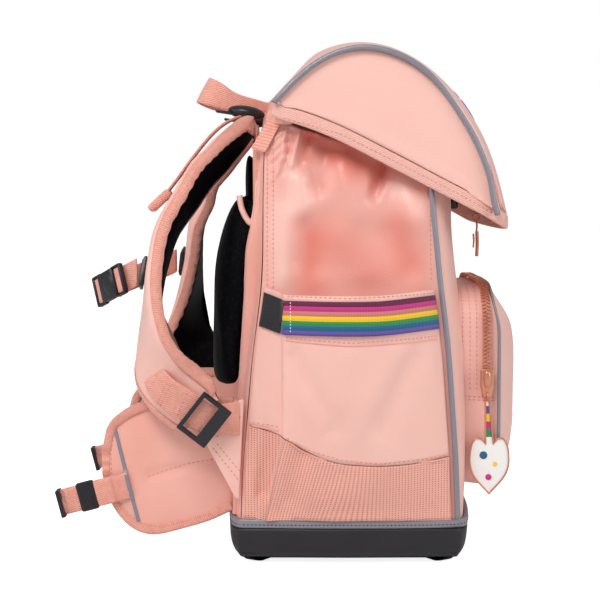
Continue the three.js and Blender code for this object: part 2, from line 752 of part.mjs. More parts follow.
// The webbing that binds the flap's lower edge: along the left side, round the front rim and back along the right.
function flapBinding() {
  const half = FLAP_WIDTH / 2 - FLAP_BINDING_WALL / 2;
  const drop = FLAP_BINDING / 2 + SEAM_GAP;
  const edge = [];
  for (let i = 0; i <= 12; i += 1) edge.push(flapEdge.getPointAt((i / 12) * 0.985).setX(-half));
  const rim = [];
  for (let i = 0; i <= 16; i += 1) {
    const x = mix(-half + 7, half - 7, i / 16);
    rim.push(flapSkin(x, 1).add(vec(0, FLAP_WALL / 2, -drop - SEAM_GAP)));
  }
  const mirrored = edge.map((point) => vec(half, point.y, point.z)).reverse();
  const path = [...edge, ...rim, ...mirrored];
  const frames = path.map((point, i) => {
    const before = path[Math.max(0, i - 1)];
    const after = path[Math.min(path.length - 1, i + 1)];
    const tangent = after.clone().sub(before).normalize();
    const face = tangent.clone().cross(vec(0, 0, 1)).normalize();
    return {
      point,
      across: face.clone().cross(tangent).normalize(),
      face,
      halfWidth: FLAP_BINDING / 2,
      halfWall: FLAP_BINDING_WALL / 2,
    };
  });
  return sweep(frames, FLAT_SECTION);
}

// The fabric that hinges the flap on the top of the back panel, v from its foot to the flap's rear edge.
function hingePoint(x, v, lift) {
  const foot = vec(x, backY(x, BODY_HEIGHT) + lift, BODY_HEIGHT + SEAM_GAP);
  const head = flapSkin(x, 0).add(vec(0, SEAM_GAP + lift * 0.7, -SEAM_GAP + lift * 0.3));
  return foot.lerp(head, v);
}

function flapHinge() {
  const half = bodyRow(BODY_HEIGHT).half - 6;
  const skin = (lift) => (u, v) => hingePoint(mix(-half, half, u), v, lift);
  return slab(skin(0), skin(-PANEL_WALL), 12, 2);
}

// A zip pull that hangs inside the flap's front rim.
function flapPull() {
  const x = FLAP_WIDTH * 0.22;
  const t = 0.955;
  const skinPoint = flapSkin(x, t);
  const inner = skinPoint.addScaledVector(flapNormal(t), -FLAP_WALL - LAY_GAP);
  const rear = inner.y + PULL_ARM + PULL_DEPTH;
  const shape = new THREE.Shape();
  shape.moveTo(inner.y, inner.z);
  shape.lineTo(inner.y + PULL_WIDTH, inner.z + LAY_GAP);
  shape.lineTo(rear, inner.z - PULL_NECK);
  shape.lineTo(rear, inner.z - PULL_LENGTH);
  shape.lineTo(inner.y + PULL_ARM, inner.z - PULL_LENGTH);
  shape.lineTo(inner.y + PULL_WIDTH, inner.z - PULL_NECK);
  shape.closePath();
  return sidePlate(1, shape, x - PULL_WIDTH / 2, PULL_WIDTH);
}

// The clasp's base plate on the front panel, under the flap.
function flapClasp() {
  const [half, high] = [CLASP_WIDTH / 2, FRONT_TOP - CLASP_BELOW];
  const skin = (lift) => (u, v) => {
    const [x, z] = [mix(-half, half, u), mix(high - CLASP_HEIGHT, high, v)];
    return vec(x, frontY(x, z) - LAY_GAP - lift, z);
  };
  return slab(skin(CLASP_DEPTH), skin(0), 4, 2);
}

// Back pads: a padded block on the back panel between two widths.
function backPad(fromX, toX, foot, top, depthAt, across, up) {
  const skin = (outer) => (u, v) => {
    const [x, z] = [mix(fromX, toX, u), mix(foot, top, v)];
    const edge = 0.35 + 0.65 * (4 * u * (1 - u)) ** 0.4;
    return vec(x, backY(x, z) + LAY_GAP + (outer ? depthAt(v) * edge : 0), z);
  };
  return slab(skin(true), skin(false), across, up);
}

const padHalf = () => bodyRow(PAD_FOOT).half - 22;

const lumbarPad = (side) =>
  backPad(
    (side * PAD_CHANNEL) / 2,
    side * padHalf(),
    PAD_FOOT,
    PAD_TOP,
    (v) => PAD_DEPTH * along(PAD_ROWS, "up", "depth", v),
    6,
    7,
  );

const upperPad = () => {
  const half = bodyRow(PAD_TOP).half - 20;
  return backPad(-half, half, PAD_TOP + 1, PAD_TOP + UPPER_PAD_HEIGHT, () => UPPER_PAD_DEPTH, 8, 2);
};

const HIP_PAD_TOP = PAD_FOOT - 22;

function hipPad() {
  const half = WING_SPACING / 2 - WING_THICKNESS - 2;
  const foot = WING_FOOT + WING_HEIGHT * 0.22;
  return backPad(-half, half, foot, HIP_PAD_TOP, () => HIP_PAD_DEPTH, 8, 3);
}

// Shoulder strap: its frame at s from 0 at the root to 1 at the lower end. What lies on it uses the same stations.
const STRAP_STEPS = 24;
const strapRootZ = BODY_HEIGHT - STRAP_BELOW_TOP;
const strapRootX = STRAP_SPACING / 2;

function strapRow(s) {
  const place = s * (STRAP_ROWS.length - 1);
  const rows = STRAP_ROWS.map((row, i) => ({ ...row, step: i }));
  const read = (column) => along(rows, "step", column, place);
  return { out: read("out"), down: read("down"), splay: read("splay"), roll: read("roll"), width: read("width") };
}

function strapPoint(side, s) {
  const { out, down, splay } = strapRow(s);
  const rootY = backY(0, strapRootZ) + LAY_GAP;
  const sway = side > 0 ? STRAP_SWAY * Math.sin(Math.PI * clamp01((s - 0.3) / 0.62)) ** 2 : 0;
  return vec(
    side * (strapRootX + splay * STRAP_SPLAY),
    rootY + out * STRAP_REACH - sway,
    strapRootZ - down * STRAP_DROP,
  );
}

function strapFrame(side, s) {
  const step = 0.004;
  const tangent = strapPoint(side, Math.min(1, s + step)).sub(strapPoint(side, Math.max(0, s - step)));
  tangent.x *= smooth(s / 0.35);
  tangent.normalize().lerp(vec(0, 1, 0), 1 - smooth((s * STRAP_STEPS) / 2)).normalize();
  const outer = vec(0, -tangent.z, tangent.y).normalize();
  const outwards = tangent.clone().cross(outer).multiplyScalar(side).normalize();
  const { roll, width } = strapRow(s);
  const angle = (roll * Math.PI) / 180;
  return {
    point: strapPoint(side, s),
    tangent,
    face: outer.clone().multiplyScalar(Math.cos(angle)).addScaledVector(outwards, Math.sin(angle)),
    across: outwards.clone().multiplyScalar(Math.cos(angle)).addScaledVector(outer, -Math.sin(angle)),
    halfWidth: (width * STRAP_WIDTH) / 2,
    halfWall: STRAP_THICKNESS / 2,
  };
}

function shoulderStrap(side) {
  const frames = [];
  for (let i = 0; i <= STRAP_STEPS; i += 1) {
    const frame = strapFrame(side, i / STRAP_STEPS);
    if (i === STRAP_STEPS) frame.halfWidth *= 0.7;
    frames.push(frame);
  }
  return sweep(frames, PAD_SECTION);
}

// A flat band that lies on the strap's outer face, lifted a little more where it hangs loose.
function onStrap(side, s, lift, width) {
  const frame = strapFrame(side, s);
  const stand = frame.halfWall + LAY_GAP + WEB_WALL / 2 + lift;
  return {
    ...frame,
    point: frame.point.clone().addScaledVector(frame.face, stand),
    halfWidth: width / 2,
    halfWall: WEB_WALL / 2,
  };
}

const LIFTER_STEPS = 11;
const LIFTER_LOOSE = 5;
const LIFTER_BUCKLE_AT = 3.3 / STRAP_STEPS;

function lifterWebbing(side) {
  const frames = [];
  for (let i = 0; i <= LIFTER_STEPS; i += 1) {
    const lift = LIFTER_LOOSE * smooth((i - 5) / 2) * smooth((LIFTER_STEPS - i) / 2);
    frames.push(onStrap(side, i / STRAP_STEPS, lift, WEB_WIDTH * 0.8));
  }
  return sweep(frames, FLAT_SECTION);
}

// A body that stands on a frame: a profile along the band, given the buckle's width across it.
function onFrame(frame, shape, width, lift) {
  const geometry = new THREE.ExtrudeGeometry(shape, { depth: width, bevelEnabled: false, curveSegments: 6 });
  geometry.translate(0, 0, -width / 2);
  const across = frame.tangent.clone().cross(frame.face).normalize();
  const basis = new THREE.Matrix4().makeBasis(frame.tangent, frame.face, across);
  basis.setPosition(frame.point.clone().addScaledVector(frame.face, lift));
  return geometry.applyMatrix4(basis);
}

function lifterBuckle(side) {
  const frame = onStrap(side, LIFTER_BUCKLE_AT, 0, WEB_WIDTH);
  const [half, height] = [LIFTER_BUCKLE_LENGTH / 2, LIFTER_BUCKLE_HEIGHT];
  const shape = new THREE.Shape();
  shape.moveTo(-half, height * 0.35);
  shape.bezierCurveTo(-half, height * 0.8, -half * 0.4, height, 0, height);
  shape.bezierCurveTo(half * 0.5, height, half * 0.7, height * 0.8, half, height * 0.45);
  shape.lineTo(half, height * 0.2);
  shape.lineTo(half * 0.4, 0);
  shape.lineTo(-half * 0.5, 0);
  shape.closePath();
  return onFrame(frame, shape, WEB_WIDTH + 3, WEB_WALL / 2 + 1.5 * LAY_GAP);
}

// Adjuster: webbing on the strap's lower end, through a frame buckle and on to the anchor.
const ADJUSTER_STEPS = 4;
const ADJUSTER_LOOSE = 4;
const anchorFace = () => bodyRow(HIP_PAD_TOP).half + 2;

function adjusterWebbing(side) {
  const frames = [];
  for (let i = STRAP_STEPS - ADJUSTER_STEPS; i <= STRAP_STEPS; i += 1) {
    const lift = ADJUSTER_LOOSE * smooth(i - STRAP_STEPS + ADJUSTER_STEPS);
    frames.push(onStrap(side, i / STRAP_STEPS, lift, WEB_WIDTH));
  }
  const last = frames[frames.length - 1];
  const rearY = bodyRow(HIP_PAD_TOP).rear;
  const clear = PANEL_WALL / 2 + LAY_GAP + WEB_WALL / 2;
  const end = vec(side * (anchorFace() + clear), rearY + 5, last.point.z - 1);
  for (let i = 1; i <= 4; i += 1) {
    const t = i / 4;
    frames.push({
      ...last,
      point: last.point.clone().lerp(end, t),
      face: last.face.clone().lerp(vec(side, 0, 0), t).normalize(),
      across: last.across.clone().lerp(vec(0, 0, 1), t).normalize(),
    });
  }
  return sweep(frames, FLAT_SECTION);
}

// A buckle frame with one window, in its own plane.
function frameShape(length, width, bar) {
  const outline = (shape, a, b) => {
    shape.moveTo(-a, -b);
    shape.lineTo(a, -b);
    shape.lineTo(a, b);
    shape.lineTo(-a, b);
    shape.closePath();
    return shape;
  };
  const shape = outline(new THREE.Shape(), length / 2, width / 2);
  const hole = new THREE.Path();
  const [low, high, half] = [-length / 2 + bar, length / 2 - 3 * bar, width / 2 - bar];
  hole.moveTo(low, -half);
  hole.lineTo(low, half);
  hole.lineTo(high, half);
  hole.lineTo(high, -half);
  hole.closePath();
  shape.holes.push(hole);
  return shape;
}

function framePlate(frame, length, width, thickness, lift) {
  const geometry = new THREE.ExtrudeGeometry(frameShape(length, width, BUCKLE_BAR), {
    depth: thickness,
    bevelEnabled: false,
  });
  const across = frame.face.clone().cross(frame.tangent).normalize();
  const basis = new THREE.Matrix4().makeBasis(frame.tangent, across, frame.face);
  basis.setPosition(frame.point.clone().addScaledVector(frame.face, lift));
  return geometry.applyMatrix4(basis);
}

function adjusterBuckle(side) {
  const frame = onStrap(side, 1 - 0.5 / STRAP_STEPS, ADJUSTER_LOOSE, WEB_WIDTH);
  return framePlate(frame, WEB_WIDTH + 1, WEB_WIDTH + 3 * BUCKLE_BAR, BUCKLE_WALL, WEB_WALL / 2 + 2 * LAY_GAP);
}

// The stitched triangle that ties the strap and the hip wing to the body's rear seam.
function anchor(side) {
  const top = HIP_PAD_TOP - 2;
  const foot = WING_FOOT + WING_HEIGHT * 0.28;
  const shape = new THREE.Shape();
  shape.moveTo(bodyRow(top).rear + ANCHOR_INSET, top);
  shape.lineTo(bodyRow(top).rear + ANCHOR_INSET + ANCHOR_TIP, top);
  shape.lineTo(bodyRow(top).rear + ANCHOR_LENGTH, mix(foot, top, 0.58));
  shape.lineTo(bodyRow(top).rear + ANCHOR_LENGTH, mix(foot, top, 0.5));
  shape.lineTo(bodyRow(foot).rear + ANCHOR_INSET + ANCHOR_TIP * 0.75, foot);
  shape.lineTo(bodyRow(foot).rear + ANCHOR_INSET, foot);
  shape.closePath();
  return sidePlate(side, shape, anchorFace() - PANEL_WALL / 2, PANEL_WALL);
}

// The ribbed webbing patch on the side panel's top rear corner.
function cornerTab(side) {
  const [low, high, width] = [BODY_HEIGHT - 30, BODY_HEIGHT - 6, 14];
  const skin = (lift) => (u, v) => {
    const z = mix(low, high, v);
    const y = bodyRow(z).rear - 1 - width * u + 4 * (1 - v);
    return vec(side * (Math.max(sideX(y, z), bodyRow(z).half) + LAY_GAP + lift), Math.min(y, bodyRow(z).rear), z);
  };
  return slab(skin(WEB_WALL), skin(0), 3, 3);
}

// Hip wing: a padded plate that reaches back from the body.
const wingOuter = (share) => WING_SPACING / 2 + WING_THICKNESS / 2 - WING_TOE_IN * share * share;
const wingRootY = (z) => backY(WING_SPACING / 2 - WING_THICKNESS / 2, z) + LAY_GAP;

function hipWing(side) {
  const skin = (outer) => (u, v) => {
    const low = along(WING_ROWS, "out", "low", u);
    const high = along(WING_ROWS, "out", "high", u);
    const z = WING_FOOT + WING_HEIGHT * mix(low, high, v);
    const edge = Math.min(4 * v * (1 - v), 4 * (1 - u)) ** 0.5;
    const inset = WING_THICKNESS * 0.22 * (1 - clamp01(edge));
    const x = wingOuter(u) - (outer ? inset : WING_THICKNESS - inset);
    return vec(side * x, mix(wingRootY(z), wingRootY(WING_FOOT) + WING_LENGTH, u), z);
  };
  return slab(skin(true), skin(false), 9, 5);
}

const hipEndY = () => wingRootY(WING_FOOT) + WING_LENGTH;

// Hip webbing, from under the wing's reflective strip out to its buckle.
function hipFrames(side) {
  const frames = [];
  const start = vec(side * (wingOuter(0.76) + LAY_GAP + WEB_WALL / 2), hipEndY() - 24, WING_FOOT + WING_HEIGHT * 0.37);
  for (let i = 0; i <= 5; i += 1) {
    const t = i / 5;
    const point = start.clone().add(vec(0, HIP_WEB_LENGTH * t, -HIP_WEB_LENGTH * 0.26 * t));
    frames.push({
      point,
      tangent: vec(0, 1, -0.26).normalize(),
      across: vec(0, 0.26, 1).normalize(),
      face: vec(side, 0, 0),
      halfWidth: CHEST_WEB_WIDTH / 2,
      halfWall: WEB_WALL / 2,
    });
  }
  return frames;
}

const hipWebbing = (side) => sweep(hipFrames(side), FLAT_SECTION);

function hipBuckle(side) {
  const frame = hipFrames(side).at(-1);
  const across = { ...frame, tangent: frame.across, face: frame.tangent };
  const shapeLength = CHEST_WEB_WIDTH + 2 * BUCKLE_BAR;
  return framePlate(across, shapeLength, CHEST_WEB_WIDTH * 0.8, BUCKLE_WALL, LAY_GAP);
}

// Grab handle: webbing on edge, out from the top of the back and round.
function grabHandle() {
  const half = HANDLE_SPACING / 2;
  const lean = vec(0, 0.925, 0.38);
  const root = hingePoint(half, HANDLE_AT, WEB_WALL).setX(0);
  const places = [
    { x: -1, out: 0 },
    { x: -1.06, out: 0.35 },
    { x: -1, out: 0.72 },
    { x: -0.82, out: 0.92 },
    { x: -0.45, out: 1 },
    { x: 0, out: 1.02 },
  ];
  const mirrored = places.slice(0, -1).map(({ x, out }) => ({ x: -x, out })).reverse();
  const path = new THREE.CatmullRomCurve3(
    [...places, ...mirrored].map(({ x, out }) =>
      root.clone().add(vec(x * half, 0, 0)).addScaledVector(lean, out * HANDLE_REACH),
    ),
  );
  const across = vec(0, -lean.z, lean.y);
  const frames = [];
  for (let i = 0; i <= 24; i += 1) {
    const tangent = path.getTangentAt(i / 24);
    const narrow = mix(0.55, 1, smooth(Math.min(i, 24 - i) / 7));
    frames.push({
      point: path.getPointAt(i / 24),
      across,
      face: tangent.clone().cross(across).normalize(),
      halfWidth: (HANDLE_WIDTH / 2) * narrow,
      halfWall: WEB_WALL * 0.6,
    });
  }
  return sweep(frames, FLAT_SECTION);
}

// Chest strap: webbing from strap to strap, with its buckle near the left one.
const CHEST_AT = 0.6;

function chestPath() {
  const ends = [-1, 1].map((side) => {
    const frame = onStrap(side, CHEST_AT, BUCKLE_WALL + WEB_WALL + LAY_GAP, CHEST_WEB_WIDTH);
    return frame.point;
  });
  const [left, right] = ends;
  const reach = left.y + CHEST_REACH - 6;
  return new THREE.CatmullRomCurve3([
    left,
    left.clone().add(vec(11, 1, -1)),
    vec(mix(left.x, 0, 0.2), mix(left.y, reach, 0.36), left.z - CHEST_SAG * 0.35),
    vec(mix(left.x, 0, 0.34), mix(left.y, reach, 0.8), left.z - CHEST_SAG * 0.75),
    vec(mix(left.x, 0, 0.62), reach - 1, left.z - CHEST_SAG * 0.95),
    vec(0, reach, left.z - CHEST_SAG),
    vec(mix(right.x, 0, 0.5), mix(right.y, reach, 0.85), right.z - CHEST_SAG * 0.8),
    vec(mix(right.x, 0, 0.2), mix(right.y, reach, 0.42), right.z - CHEST_SAG * 0.4),
    right.clone().add(vec(-11, 1, -1)),
    right,
  ]);
}

function chestFrame(path, t, width, wallThickness) {
  const tangent = path.getTangentAt(t);
  const face = tangent.clone().cross(vec(0, 0, -1)).normalize();
  return {
    point: path.getPointAt(t),
    tangent,
    face,
    across: face.clone().cross(tangent).normalize(),
    halfWidth: width / 2,
    halfWall: wallThickness / 2,
  };
}

function chestWebbing() {
  const path = chestPath();
  const steps = 26;
  const frames = Array.from({ length: steps + 1 }, (_, i) => chestFrame(path, i / steps, CHEST_WEB_WIDTH, WEB_WALL));
  return sweep(frames, FLAT_SECTION);
}

function chestBuckle() {
  const frame = chestFrame(chestPath(), 0.17, CHEST_WEB_WIDTH, WEB_WALL);
  const [half, height] = [19, 7];
  const shape = new THREE.Shape();
  shape.moveTo(-half, 0);
  shape.lineTo(-half, height * 0.5);
  shape.bezierCurveTo(-half * 0.6, height, half * 0.6, height, half, height * 0.5);
  shape.lineTo(half, 0);
  shape.closePath();
  return onFrame(frame, shape, CHEST_WEB_WIDTH + 5, WEB_WALL / 2 + 2 * LAY_GAP);
}

// The slide that carries the chest strap on a shoulder strap.
function chestSlide(side) {
  const frame = onStrap(side, CHEST_AT, 0, CHEST_WEB_WIDTH);
  const shape = new THREE.Shape();
  const [half, height] = [CHEST_WEB_WIDTH / 2 + 2, BUCKLE_WALL];
  shape.moveTo(-half, 0);
  shape.lineTo(-half, height * 0.5);
  shape.lineTo(-half * 0.7, height * 0.9);
  shape.lineTo(half * 0.7, height * 0.9);
  shape.lineTo(half, height * 0.6);
  shape.lineTo(half, 0);
  shape.closePath();
  return onFrame(frame, shape, 12, -WEB_WALL / 2);
}

const bag = new THREE.Group();

function add(name, geometry, color, finish = FABRIC) {
  const mesh = new THREE.Mesh(geometry, new THREE.MeshStandardMaterial({ color, ...finish }));
  mesh.name = name;
  bag.add(mesh);
}

const PLASTIC = { roughness: 0.5, metalness: 0 };
const METAL = { roughness: 0.25, metalness: 1 };

add("base_tray", baseTray(), DARK, PLASTIC);
add("base_binding", baseBinding(), GREY);
add("front_panel", frontPanel(), SHEET.coral);
add("back_panel", backPanel(), SHEET.coral);
add("front_pocket_gusset", frontPocketGusset(), SHEET.blush);
add("front_pocket_face", frontPocketFace(), SHEET.blush);
add("front_pocket_piping", frontPocketPiping(), GREY);
add("front_pocket_zip", zipChain(), ROSE_GOLD, METAL);
add("zip_slider", zipSlider(), ROSE_GOLD, METAL);
add("zip_charm", zipCharm(), 0xffffff, PLASTIC);
add("flap_top", flapTop(), SHEET.blush);
add("flap_binding", flapBinding(), SHEET.webbing);
add("flap_hinge", flapHinge(), SHEET.blush);
add("flap_pull", flapPull(), ROSE_GOLD, METAL);
add("flap_clasp", flapClasp(), DARK, PLASTIC);
add("upper_pad", upperPad(), BLACK);
add("hip_pad", hipPad(), BLACK);
add("grab_handle", grabHandle(), SHEET.webbing);
add("chest_webbing", chestWebbing(), SHEET.webbing);
add("chest_buckle", chestBuckle(), DARK, PLASTIC);

for (const [side, name] of [[-1, "left"], [1, "right"]]) {
  add(`side_panel_${name}`, sidePanel(side), SHEET.coral);
  add(`body_piping_${name}`, bodyPiping(side), GREY);
  add(`pocket_fabric_${name}`, pocketFabric(side), SHEET.blush);
  add(`pocket_mesh_${name}`, pocketMesh(side), SHEET.mesh);
  add(`pocket_band_${name}`, pocketBand(side), 0xd8509a);
  add(`pocket_tab_${name}`, pocketTab(side), DARK);
  add(`flap_side_${name}`, flapSide(side), SHEET.blush);
  add(`flap_piping_${name}`, flapPiping(side), GREY);
  add(`corner_tab_${name}`, cornerTab(side), SHEET.webbing);
  add(`lumbar_pad_${name}`, lumbarPad(side), BLACK);
  add(`shoulder_strap_${name}`, shoulderStrap(side), SHEET.coral);
  add(`lifter_webbing_${name}`, lifterWebbing(side), SHEET.webbing);
  add(`lifter_buckle_${name}`, lifterBuckle(side), DARK, PLASTIC);
  add(`adjuster_webbing_${name}`, adjusterWebbing(side), SHEET.webbing);
  add(`adjuster_buckle_${name}`, adjusterBuckle(side), DARK, PLASTIC);
  add(`anchor_${name}`, anchor(side), SHEET.coral);
  add(`hip_wing_${name}`, hipWing(side), SHEET.coral);
  add(`hip_webbing_${name}`, hipWebbing(side), SHEET.webbing);
  add(`hip_buckle_${name}`, hipBuckle(side), DARK, PLASTIC);
  add(`chest_slide_${name}`, chestSlide(side), DARK, PLASTIC);
}

export default bag;
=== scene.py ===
"""A school ransel in satin coral fabric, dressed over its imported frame."""

import logging
import math
from collections.abc import Callable, Iterable, Sequence
from dataclasses import dataclass, field
from enum import Enum
from typing import Protocol, TypeVar

import bmesh
import bpy
from mathutils import Matrix, Vector, noise
from mathutils.bvhtree import BVHTree


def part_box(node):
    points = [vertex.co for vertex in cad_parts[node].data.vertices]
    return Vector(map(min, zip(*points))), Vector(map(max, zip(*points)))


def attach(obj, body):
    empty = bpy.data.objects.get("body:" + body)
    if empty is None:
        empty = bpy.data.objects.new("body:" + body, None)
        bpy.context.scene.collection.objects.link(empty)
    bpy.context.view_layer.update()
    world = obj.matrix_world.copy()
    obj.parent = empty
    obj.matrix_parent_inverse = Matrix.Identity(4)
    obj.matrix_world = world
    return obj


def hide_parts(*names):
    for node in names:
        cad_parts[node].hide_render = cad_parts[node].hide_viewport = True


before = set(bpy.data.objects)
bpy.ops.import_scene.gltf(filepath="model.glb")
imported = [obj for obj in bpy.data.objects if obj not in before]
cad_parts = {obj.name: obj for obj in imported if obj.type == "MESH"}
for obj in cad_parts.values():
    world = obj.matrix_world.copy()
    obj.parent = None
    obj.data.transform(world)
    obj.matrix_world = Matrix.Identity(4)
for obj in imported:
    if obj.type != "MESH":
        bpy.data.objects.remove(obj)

log = logging.getLogger("ransel")

MM = 0.001
WELD = 1e-5
BODY = "root"
SIDEWAYS = Vector((1, 0, 0))
REARWARDS = Vector((0, 1, 0))

Shift = Callable[[Vector, Vector], Vector]
Place = Callable[[float, float], Vector]
Value = TypeVar("Value", float, Vector)


class Side(Enum):
    """The wearer's left, on -X, or right."""

    LEFT = -1
    RIGHT = 1

    @property
    def word(self) -> str:
        """The side's ending in a node's name."""
        return self.name.lower()


class Shade(Enum):
    """Colours of the bag's cloth and trim, as sRGB numbers."""

    BLUSH = 0xF4C0B4
    CORAL = 0xF1B3A5
    DEEP_CORAL = 0xE8947F
    SHADOW_CORAL = 0xDC5D47
    TAPE = 0xF3B5A6
    MESH = 0xF2AE9D
    HOLE = 0x8A5048
    GREY = 0x8A8892
    CHARCOAL = 0x131117
    BLACK = 0x070609
    SLATE = 0x1B1922
    # Darker than the cloth: the thread's own colour with painted shade of the stitch holes.
    THREAD = 0xE8A294
    ROSE = 0xDB9A7C
    WHITE = 0xF6F3F0
    BURGUNDY = 0x63003A
    MAGENTA = 0xC2257B
    TAN = 0xC9796A
    YELLOW = 0xF2C200
    GREEN = 0x1F8A4A
    TEAL = 0x045785
    PURPLE = 0x5F489A

    @property
    def linear(self) -> tuple[float, float, float, float]:
        """The colour in linear light, with alpha."""
        parts = [(self.value >> shift & 255) / 255 for shift in (16, 8, 0)]
        return (*(c / 12.92 if c <= 0.04045 else ((c + 0.055) / 1.055) ** 2.4 for c in parts), 1.0)


def point_mm(x: float, y: float, z: float) -> Vector:
    """A point given in millimetres, in metres."""
    return Vector((x, y, z)) * MM


def ease(t: float) -> float:
    """A smooth step from 0 to 1."""
    t = min(1.0, max(0.0, t))
    return t * t * (3 - 2 * t)


def blend(a: float, b: float, t: float) -> float:
    """The number a share t of the way from a to b."""
    return a + (b - a) * t


def smooth_step(start: Value, slope_start: Value, end: Value, slope_end: Value, t: float) -> Value:
    """The value a share t of the way from start to end, which leaves and arrives with given slopes."""
    return (
        start * (2 * t**3 - 3 * t**2 + 1)
        + slope_start * (t**3 - 2 * t**2 + t)
        + end * (3 * t**2 - 2 * t**3)
        + slope_end * (t**3 - t**2)
    )


def read_rows(rows: Sequence[Sequence[float]], column: int, place: float) -> float:
    """Reads one column of a table smoothly at a place on its first column.

    Args:
        rows: the table's rows, in the order of their first number.
        column: which number of the rows is read.
        place: where on the first column.

    Returns:
        The number there.
    """
    i = 0
    while i < len(rows) - 2 and rows[i + 1][0] < place:
        i += 1
    before, start, end = rows[max(0, i - 1)], rows[i], rows[i + 1]
    after = rows[min(len(rows) - 1, i + 2)]
    span = end[0] - start[0]
    t = min(1.0, max(0.0, (place - start[0]) / span))
    slope_start = (end[column] - before[column]) / (end[0] - before[0]) * span
    slope_end = (after[column] - start[column]) / (after[0] - start[0]) * span
    return smooth_step(start[column], slope_start, end[column], slope_end, t)


class Shading:
    """A material with a Principled shader, and short ways to add nodes to it."""

    def __init__(self, name: str, roughness: float, metallic: float = 0.0) -> None:
        """Starts a material.

        Args:
            name: the material's name.
            roughness: the shader's roughness.
            metallic: the shader's metallic value.
        """
        self.material = bpy.data.materials.new(name)
        self.material.use_nodes = True
        self.tree = self.material.node_tree
        self.shader = self.tree.nodes["Principled BSDF"]
        self.set("Roughness", roughness)
        self.set("Metallic", metallic)

    def set(self, socket: str, value: object) -> None:
        """Sets a socket of the shader itself."""
        self.shader.inputs[socket].default_value = value

    def node(self, kind: str, inputs: dict[str, object] | None = None, **settings: object) -> bpy.types.Node:
        """Adds a node.

        Args:
            kind: the node's type.
            inputs: values of its sockets, or the sockets that feed them.
            settings: the node's own properties.

        Returns:
            The new node.
        """
        made = self.tree.nodes.new(kind)
        for key, value in settings.items():
            setattr(made, key, value)
        for key, value in (inputs or {}).items():
            self.feed(made.inputs[key], value)
        return made

    def feed(self, socket: bpy.types.NodeSocket, value: object) -> None:
        """Gives a socket a value, or joins it to the socket that feeds it."""
        if isinstance(value, bpy.types.NodeSocket):
            self.tree.links.new(value, socket)
        else:
            socket.default_value = value

    def place(self, uv: bool = False, scale: Sequence[float] = (1, 1, 1), turn: Sequence[float] = (0, 0, 0)):
        """Object or cloth coordinates, scaled and turned.

        Args:
            uv: whether the piece's own cloth map is used.
            scale: the scale on each axis.
            turn: the turn about each axis, in degrees.

        Returns:
            The socket that gives the vector.
        """
        if uv:
            start = self.node("ShaderNodeUVMap", uv_map="cloth").outputs["UV"]
        else:
            start = self.node("ShaderNodeTexCoord").outputs["Object"]
        angles = [math.radians(angle) for angle in turn]
        inputs = {"Vector": start, "Scale": scale, "Rotation": angles}
        return self.node("ShaderNodeMapping", inputs).outputs[0]

    def waves(self, vector: bpy.types.NodeSocket, period: float, axis: str) -> bpy.types.NodeSocket:
        """Even ribs along an axis, with a period in metres."""
        inputs = {"Vector": vector, "Scale": math.pi / 10 / period, "Distortion": 0.0}
        made = self.node("ShaderNodeTexWave", inputs, wave_type="BANDS", bands_direction=axis)
        return made.outputs["Fac"]

    def cloud(self, vector: bpy.types.NodeSocket, size: float, detail: float = 2.0) -> bpy.types.NodeSocket:
        """Soft noise with features of a size in metres."""
        inputs = {"Vector": vector, "Scale": 1 / size, "Detail": detail}
        return self.node("ShaderNodeTexNoise", inputs).outputs["Fac"]

    def sum(self, a: object, b: object, operation: str = "ADD") -> bpy.types.NodeSocket:
        """Two values put together by a Math node."""
        made = self.node("ShaderNodeMath", operation=operation)
        self.feed(made.inputs[0], a)
        self.feed(made.inputs[1], b)
        return made.outputs[0]

    def tint(self, factor: bpy.types.NodeSocket, low: Shade, high: Shade, start: float, end: float) -> None:
        """Colours the shader between two shades as a factor goes from start to end."""
        ramp = self.node("ShaderNodeValToRGB", {"Fac": factor})
        ramp.color_ramp.elements[0].position = start
        ramp.color_ramp.elements[0].color = low.linear
        ramp.color_ramp.elements[1].position = end
        ramp.color_ramp.elements[1].color = high.linear
        self.feed(self.shader.inputs["Base Color"], ramp.outputs["Color"])

    def relief(self, height: bpy.types.NodeSocket, depth: float, strength: float = 1.0) -> None:
        """Raises the surface by a height, with a depth in metres."""
        inputs = {"Height": height, "Distance": depth, "Strength": strength}
        self.feed(self.shader.inputs["Normal"], self.node("ShaderNodeBump", inputs).outputs["Normal"])


@dataclass(frozen=True)
class CoatedCloth:
    """Satin coated fabric: a fine grain, small creases and a faint change of tone; the side cloth's version
    also takes painted shade and painted highlight from its vertices.
    """

    name: str
    light: Shade
    deep: Shade
    roughness: float = 0.42
    # Set for the side cloth, whose colour also reads the painted shade and highlight on its vertices.
    reads_painted_light: bool = False

    def material(self) -> bpy.types.Material:
        """Builds the finish."""
        shading = Shading(self.name, self.roughness)
        shading.set("Sheen Weight", 0.15)
        shading.set("Specular IOR Level", 0.42)
        vector = shading.place()
        tone_and_painted_light = shading.cloud(vector, 0.09)
        if self.reads_painted_light:
            # Painted light: the vertex tone paints shade in the dents and under the flap and highlight on the
            # ridges, added to the random tone.
            painted_light = shading.node("ShaderNodeAttribute", attribute_name="tone_and_painted_light").outputs["Fac"]
            mixed = shading.sum(painted_light, shading.sum(tone_and_painted_light, 0.15, "MULTIPLY"))
            shading.tint(mixed, self.deep, self.light, 0.07, 1.07)
        else:
            shading.tint(tone_and_painted_light, self.deep, self.light, 0.0, 0.6)
        fine = shading.place(scale=(1, 1, 1.4))
        grain = shading.sum(shading.cloud(fine, 0.0011), 0.35, "MULTIPLY")
        creases = shading.cloud(vector, 0.02, 4.0)
        shading.relief(shading.sum(grain, creases), 0.0009, 0.5)
        return shading.material


